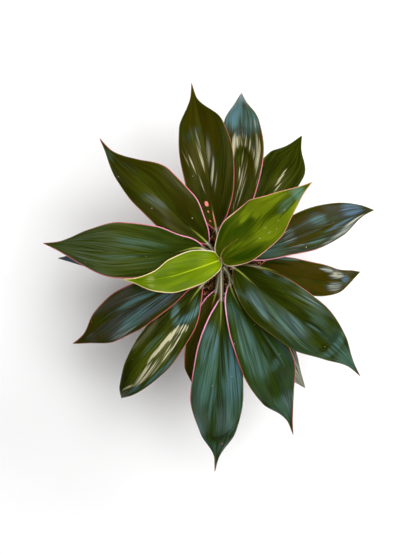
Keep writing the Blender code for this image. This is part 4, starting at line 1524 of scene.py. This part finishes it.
CRUMBS = (
    Crumb("bark_chips", 620, (1.6, 4.6), (1.0, 0.62, 0.3),
          CrumbFinish("pine_bark_milled_damp", "#4A2E1A", "#8C6238")),
    Crumb("coir_crumbs", 900, (0.6, 1.7), (1.0, 0.8, 0.7),
          CrumbFinish("coir_crumb_damp", "#C47A38", "#FFCC84")),
    Crumb("perlite_grains", 130, (0.8, 1.9), (1.0, 0.9, 0.85),
          CrumbFinish("perlite_popped", "#CFC8B8", "#F2EFE6", 0.95, 0.5)),
)


@dataclass
class Soil:
    """Potting mix that fills the pot: a rough bed with bark chips, crumbs and perlite on it.

    Its lumps and its grit each have a breadth in mm, a layer of the noise and a height in mm.
    """

    level: float = 134.0
    sunk: float = 0.4
    lumps: tuple = (17.0, 3.1, 1.6)
    grit: tuple = (3.6, 7.7, 0.8)
    mound: float = 3.0
    mound_radius: float = 22.0
    cane_hole: float = 8.9
    bed_radius: float = 76.6
    wall_radius: float = 72.4
    foot_radius: float = 52.6
    bottom: float = 8.3
    rings: int = 60
    sectors: int = 150
    shoulder: float = 112.0
    well: float = 8.0
    seed: int = 11
    unevenness: float = 0.28
    tilt: float = 0.4
    rises: float = 0.45
    inner_gap: float = 3.0
    outer_gap: float = 4.0

    def surface(self, x: float, y: float) -> float:
        """Find the height of the bed.

        Args:
            x: place in mm.
            y: place in mm.

        Returns:
            Height in mm.
        """
        radius = math.hypot(x, y)
        low, fine = (noise.noise(Vector((x / broad, y / broad, layer))) * high
                     for broad, layer, high in (self.lumps, self.grit))
        mound = self.mound * math.exp(-((radius / self.mound_radius) ** 2))
        return self.level - self.sunk + mound + low + fine

    def build(self) -> None:
        """Build the bed and what lies on it."""
        bed = CrumbFinish("potting_mix_peat_damp", "#1E130B", "#4A3220", grain_mm=0.8).build()
        points = [(0.0, 0.0, self.bottom)]
        radii = np.linspace(self.cane_hole, self.bed_radius, self.rings)
        for radius in radii:
            for k in range(self.sectors):
                angle = 2 * math.pi * k / self.sectors
                x, y = radius * math.cos(angle), radius * math.sin(angle)
                points.append((x, y, self.surface(x, y)))
        for radius, height in ((self.wall_radius, self.shoulder), (self.foot_radius, self.bottom)):
            for k in range(self.sectors):
                angle = 2 * math.pi * k / self.sectors
                points.append((radius * math.cos(angle), radius * math.sin(angle), height))
        faces = grid_faces(self.rings + 2, self.sectors, closed=True, first=1)
        last = 1 + (self.rings + 1) * self.sectors
        faces += [(0, last + (k + 1) % self.sectors, last + k) for k in range(self.sectors)]
        middle = len(points)
        points.append((0.0, 0.0, self.level - self.well))
        faces += [(middle, 1 + k, 1 + (k + 1) % self.sectors) for k in range(self.sectors)]
        seat(mesh_object("fine_soil", np.array(points) * MM, faces, bed), "potting_soil", "soil")
        chance = np.random.default_rng(self.seed)
        for crumb in CRUMBS:
            self.scatter(crumb, chance)

    def scatter(self, kind: Crumb, chance: np.random.Generator) -> None:
        """Lay crumbs of one kind on the bed, as one mesh.

        Args:
            kind: form, number and finish of the crumbs.
            chance: seeded source of their places.
        """
        shape = bmesh.new()
        bmesh.ops.create_icosphere(shape, subdivisions=1, radius=1.0)
        ball = np.array([v.co for v in shape.verts])
        triangles = np.array([[v.index for v in f.verts] for f in shape.faces])
        shape.free()
        points, faces = [], []
        nearest, farthest = self.cane_hole + self.inner_gap, self.bed_radius - self.outer_gap
        for _ in range(kind.count):
            radius = math.sqrt(chance.uniform(nearest ** 2, farthest ** 2))
            angle = chance.uniform(0, 2 * math.pi)
            x, y = radius * math.cos(angle), radius * math.sin(angle)
            size = chance.uniform(*kind.sizes)
            uneven = 1 + chance.uniform(-self.unevenness, self.unevenness, (len(ball), 1))
            crumb = ball * uneven * np.array(kind.form) * size
            upright = Vector((chance.normal(0, self.tilt), chance.normal(0, self.tilt), 1))
            turn = upright.to_track_quat("Z", "Y")
            spin = turn.to_matrix() @ Vector((0, 0, 1)).to_track_quat("Z", "Y").to_matrix()
            around = chance.uniform(0, 2 * math.pi)
            cosine, sine = math.cos(around), math.sin(around)
            flat = np.array([[cosine, -sine, 0], [sine, cosine, 0], [0, 0, 1]])
            crumb = crumb @ flat.T @ np.array(spin).T
            lift = self.surface(x, y) + size * kind.form[2] * self.rises
            faces += (triangles + len(points) * len(ball)).tolist()
            points.append(crumb + np.array((x, y, lift)))
        piece = mesh_object(kind.name, np.concatenate(points) * MM, faces, kind.finish.build(), sharp=35.0)
        seat(piece, "potting_soil")


@dataclass(frozen=True)
class Pane:
    """One soft box: its direction from the plant, its spans sideways and upwards in degrees, its light.

    A pane that some leaves mirror shows in them alone. The others light dull surfaces and show in none.
    """

    name: str
    azimuth: float
    zenith: float
    spans: tuple[float, float]
    radiance: float
    shade: str = "#FFFFFF"
    seen_by: tuple = ()


DULL_LIGHT = (
    Pane("over", 0, 5, (36, 36), 5.0),
    Pane("north", 75, 22, (27, 27), 3.9),
    Pane("east", -15, 30, (30, 30), 4.4),
    Pane("northeast", 45, 55, (27, 27), 8.1),
)
MIRRORED_LIGHT = (
    Pane("mirrored_by_south", 272, 36, (50, 36), 1.4, "#8CD8FF", ("leaf_south",)),
    Pane("mirrored_by_south_tip", 262, 68, (40, 22), 2.5, "#A8C8D8", ("leaf_south",)),
    Pane("mirrored_by_south_southeast", 0, 26, (60, 34), 0.9, "#8CD8FF", ("leaf_south_southeast",)),
    Pane("mirrored_by_south_southeast_low", 290, 60, (50, 40), 0.9, "#A8D0D0", ("leaf_south_southeast",)),
    Pane("mirrored_by_southeast", 107, 26, (16, 18), 3.0, "#B4E4FF", ("leaf_southeast",)),
    Pane("mirrored_by_southeast_east", 16, 28, (36, 24), 2.2, "#A0D4FF", ("leaf_southeast",)),
    Pane("mirrored_by_southeast_tip", 302, 66, (50, 36), 1.2, "#90D8D0", ("leaf_southeast",)),
    Pane("mirrored_by_southwest", 194, 27, (22, 22), 2.2, "#FFF6C0", ("leaf_southwest",)),
    Pane("mirrored_by_southwest_north", 115, 30, (26, 26), 2.5, "#8CD8FF", ("leaf_southwest",)),
    Pane("mirrored_by_southwest_upper", 192, 50, (44, 30), 0.7, "#9CB8E8", ("leaf_southwest_upper",)),
    Pane("mirrored_by_west", 200, 40, (60, 30), 0.5, "#A8D0C0", ("leaf_west", "leaf_west_lower")),
    Pane("mirrored_by_north", 48, 30, (20, 26), 0.6, "#FFF0A8", ("leaf_north",)),
    Pane("mirrored_by_north_lower", 90, 76, (50, 30), 1.4, "#8CCBF0", ("leaf_north_lower",)),
    Pane("mirrored_by_northwest", 47, 25, (18, 18), 1.4, "#F0E8E0", ("leaf_northwest",)),
    Pane("mirrored_by_northeast", 95, 39, (16, 18), 1.2, "#FFF0A8", ("leaf_northeast_lower",)),
    Pane("mirrored_by_east", 4, 66, (56, 34), 1.2, "#B0CCFF", ("leaf_east",)),
    Pane("mirrored_by_east_near", 343, 34, (24, 20), 2.2, "#A0D4FF", ("leaf_east",)),
    Pane("mirrored_by_east_lower", 2, 78, (40, 18), 1.2, "#FFF0D8", ("leaf_east_lower",)),
)


@dataclass
class Studio:
    """Pale floor, soft light and the camera of the photograph, straight above the plant."""

    camera_place: tuple = (-17.4, -18.7, 2000.0)
    lens: float = 87.3
    sensor: float = 36.0
    aim: tuple = (0.0, 0.0, 0.24)
    floor_shade: str = "#F4F4F4"
    floor_fades: tuple = (650.0, 1300.0)
    floor_reach: float = 9.0
    dome_radius: float = 8.5
    fill: float = 0.10
    distance: float = 2.6

    def build(self) -> None:
        """Set floor, light and camera."""
        self.floor()
        self.world()
        for pane in DULL_LIGHT + MIRRORED_LIGHT:
            self.hang(pane)
        camera = bpy.data.cameras.new("camera")
        camera.lens, camera.sensor_width = self.lens, self.sensor
        camera.clip_start, camera.clip_end = 0.05, 50.0
        eye = stand("camera", camera)
        eye.location = Vector(self.camera_place) * MM
        bpy.context.scene.camera = eye
        bpy.context.scene.view_settings.view_transform = "Standard"

    def floor(self) -> None:
        """Lay the floor, which fades out far from the plant, and a pale dome that only the camera sees."""
        paper = Shading("matt_paper_floor")
        away = paper.add("VectorMath", {0: paper.where()}, operation="LENGTH")["Value"]
        nearer, farther = (radius * MM for radius in self.floor_fades)
        mesh = bpy.data.meshes.new("floor")
        mesh.from_pydata([(across * self.floor_reach, along * self.floor_reach, 0)
                          for across, along in ((-1, -1), (1, -1), (1, 1), (-1, 1))], [], [(0, 1, 2, 3)])
        mesh.materials.append(paper.finished({
            "Base Color": linear(self.floor_shade), "Roughness": 1.0, "Specular IOR Level": 0.0,
            "Alpha": paper.ramp(away, farther, nearer)}))
        floor = stand("floor", mesh)
        glow = Shading("pale_backdrop").finished({
            "Base Color": linear("#000000"), "Emission Color": linear("#FFFFFF"), "Emission Strength": 1.0})
        shape = bmesh.new()
        bmesh.ops.create_uvsphere(shape, u_segments=48, v_segments=24, radius=self.dome_radius)
        mesh = bpy.data.meshes.new("backdrop")
        shape.to_mesh(mesh)
        shape.free()
        mesh.materials.append(glow)
        dome = stand("backdrop", mesh)
        dome.visible_diffuse = dome.visible_glossy = dome.visible_shadow = False

    def world(self) -> None:
        """Fill the shadows from all round."""
        world = bpy.data.worlds.new("room")
        world.use_nodes = True
        background = world.node_tree.nodes["Background"]
        background.inputs["Color"].default_value = (1.0, 1.0, 1.0, 1.0)
        background.inputs["Strength"].default_value = self.fill
        world.cycles_visibility.glossy = False
        bpy.context.scene.world = world

    def hang(self, pane: Pane) -> None:
        """Hang one soft box that faces the plant, or the leaf that mirrors it.

        Args:
            pane: where it hangs, its size and its light.
        """
        light = bpy.data.lights.new(pane.name, "AREA")
        light.shape = "RECTANGLE"
        light.size, light.size_y = (2 * self.distance * math.tan(math.radians(span / 2))
                                    for span in pane.spans)
        light.color = linear(pane.shade)[:3]
        light.energy = pane.radiance * math.pi * light.size * light.size_y
        lamp = stand(pane.name, light)
        around, down = math.radians(pane.azimuth), math.radians(pane.zenith)
        way = Vector((math.cos(around) * math.sin(down), math.sin(around) * math.sin(down), math.cos(down)))
        side = Vector((-math.sin(around), math.cos(around), 0.0))
        seen_by = [bpy.data.objects["fine_" + leaf] for leaf in pane.seen_by]
        corners = [Vector(corner) for leaf in seen_by for corner in leaf.bound_box]
        aim = sum(corners, Vector()) / len(corners) if corners else Vector(self.aim)
        lamp.matrix_world = Matrix.LocRotScale(
            aim + way * self.distance, Matrix((side, way.cross(side), way)).transposed(), None)
        lamp.visible_camera = False
        lamp.visible_glossy = bool(seen_by)
        lamp.visible_diffuse = not seen_by
        if seen_by:
            reach = bpy.data.collections.new("reach_of_" + pane.name)
            for leaf in seen_by:
                reach.objects.link(leaf)
            lamp.light_linking.receiver_collection = reach


def main() -> None:
    """Build the plant from the pot up, then the studio, and note the sizes."""
    logging.basicConfig(level=logging.INFO, format="%(message)s")
    Pot().build()
    Soil().build()
    cane = Cane()
    cane.build()
    Foliage(cane).build()
    Spear().build()
    Studio().build()
    bpy.context.view_layer.update()


if __name__ == "__main__":
    main()
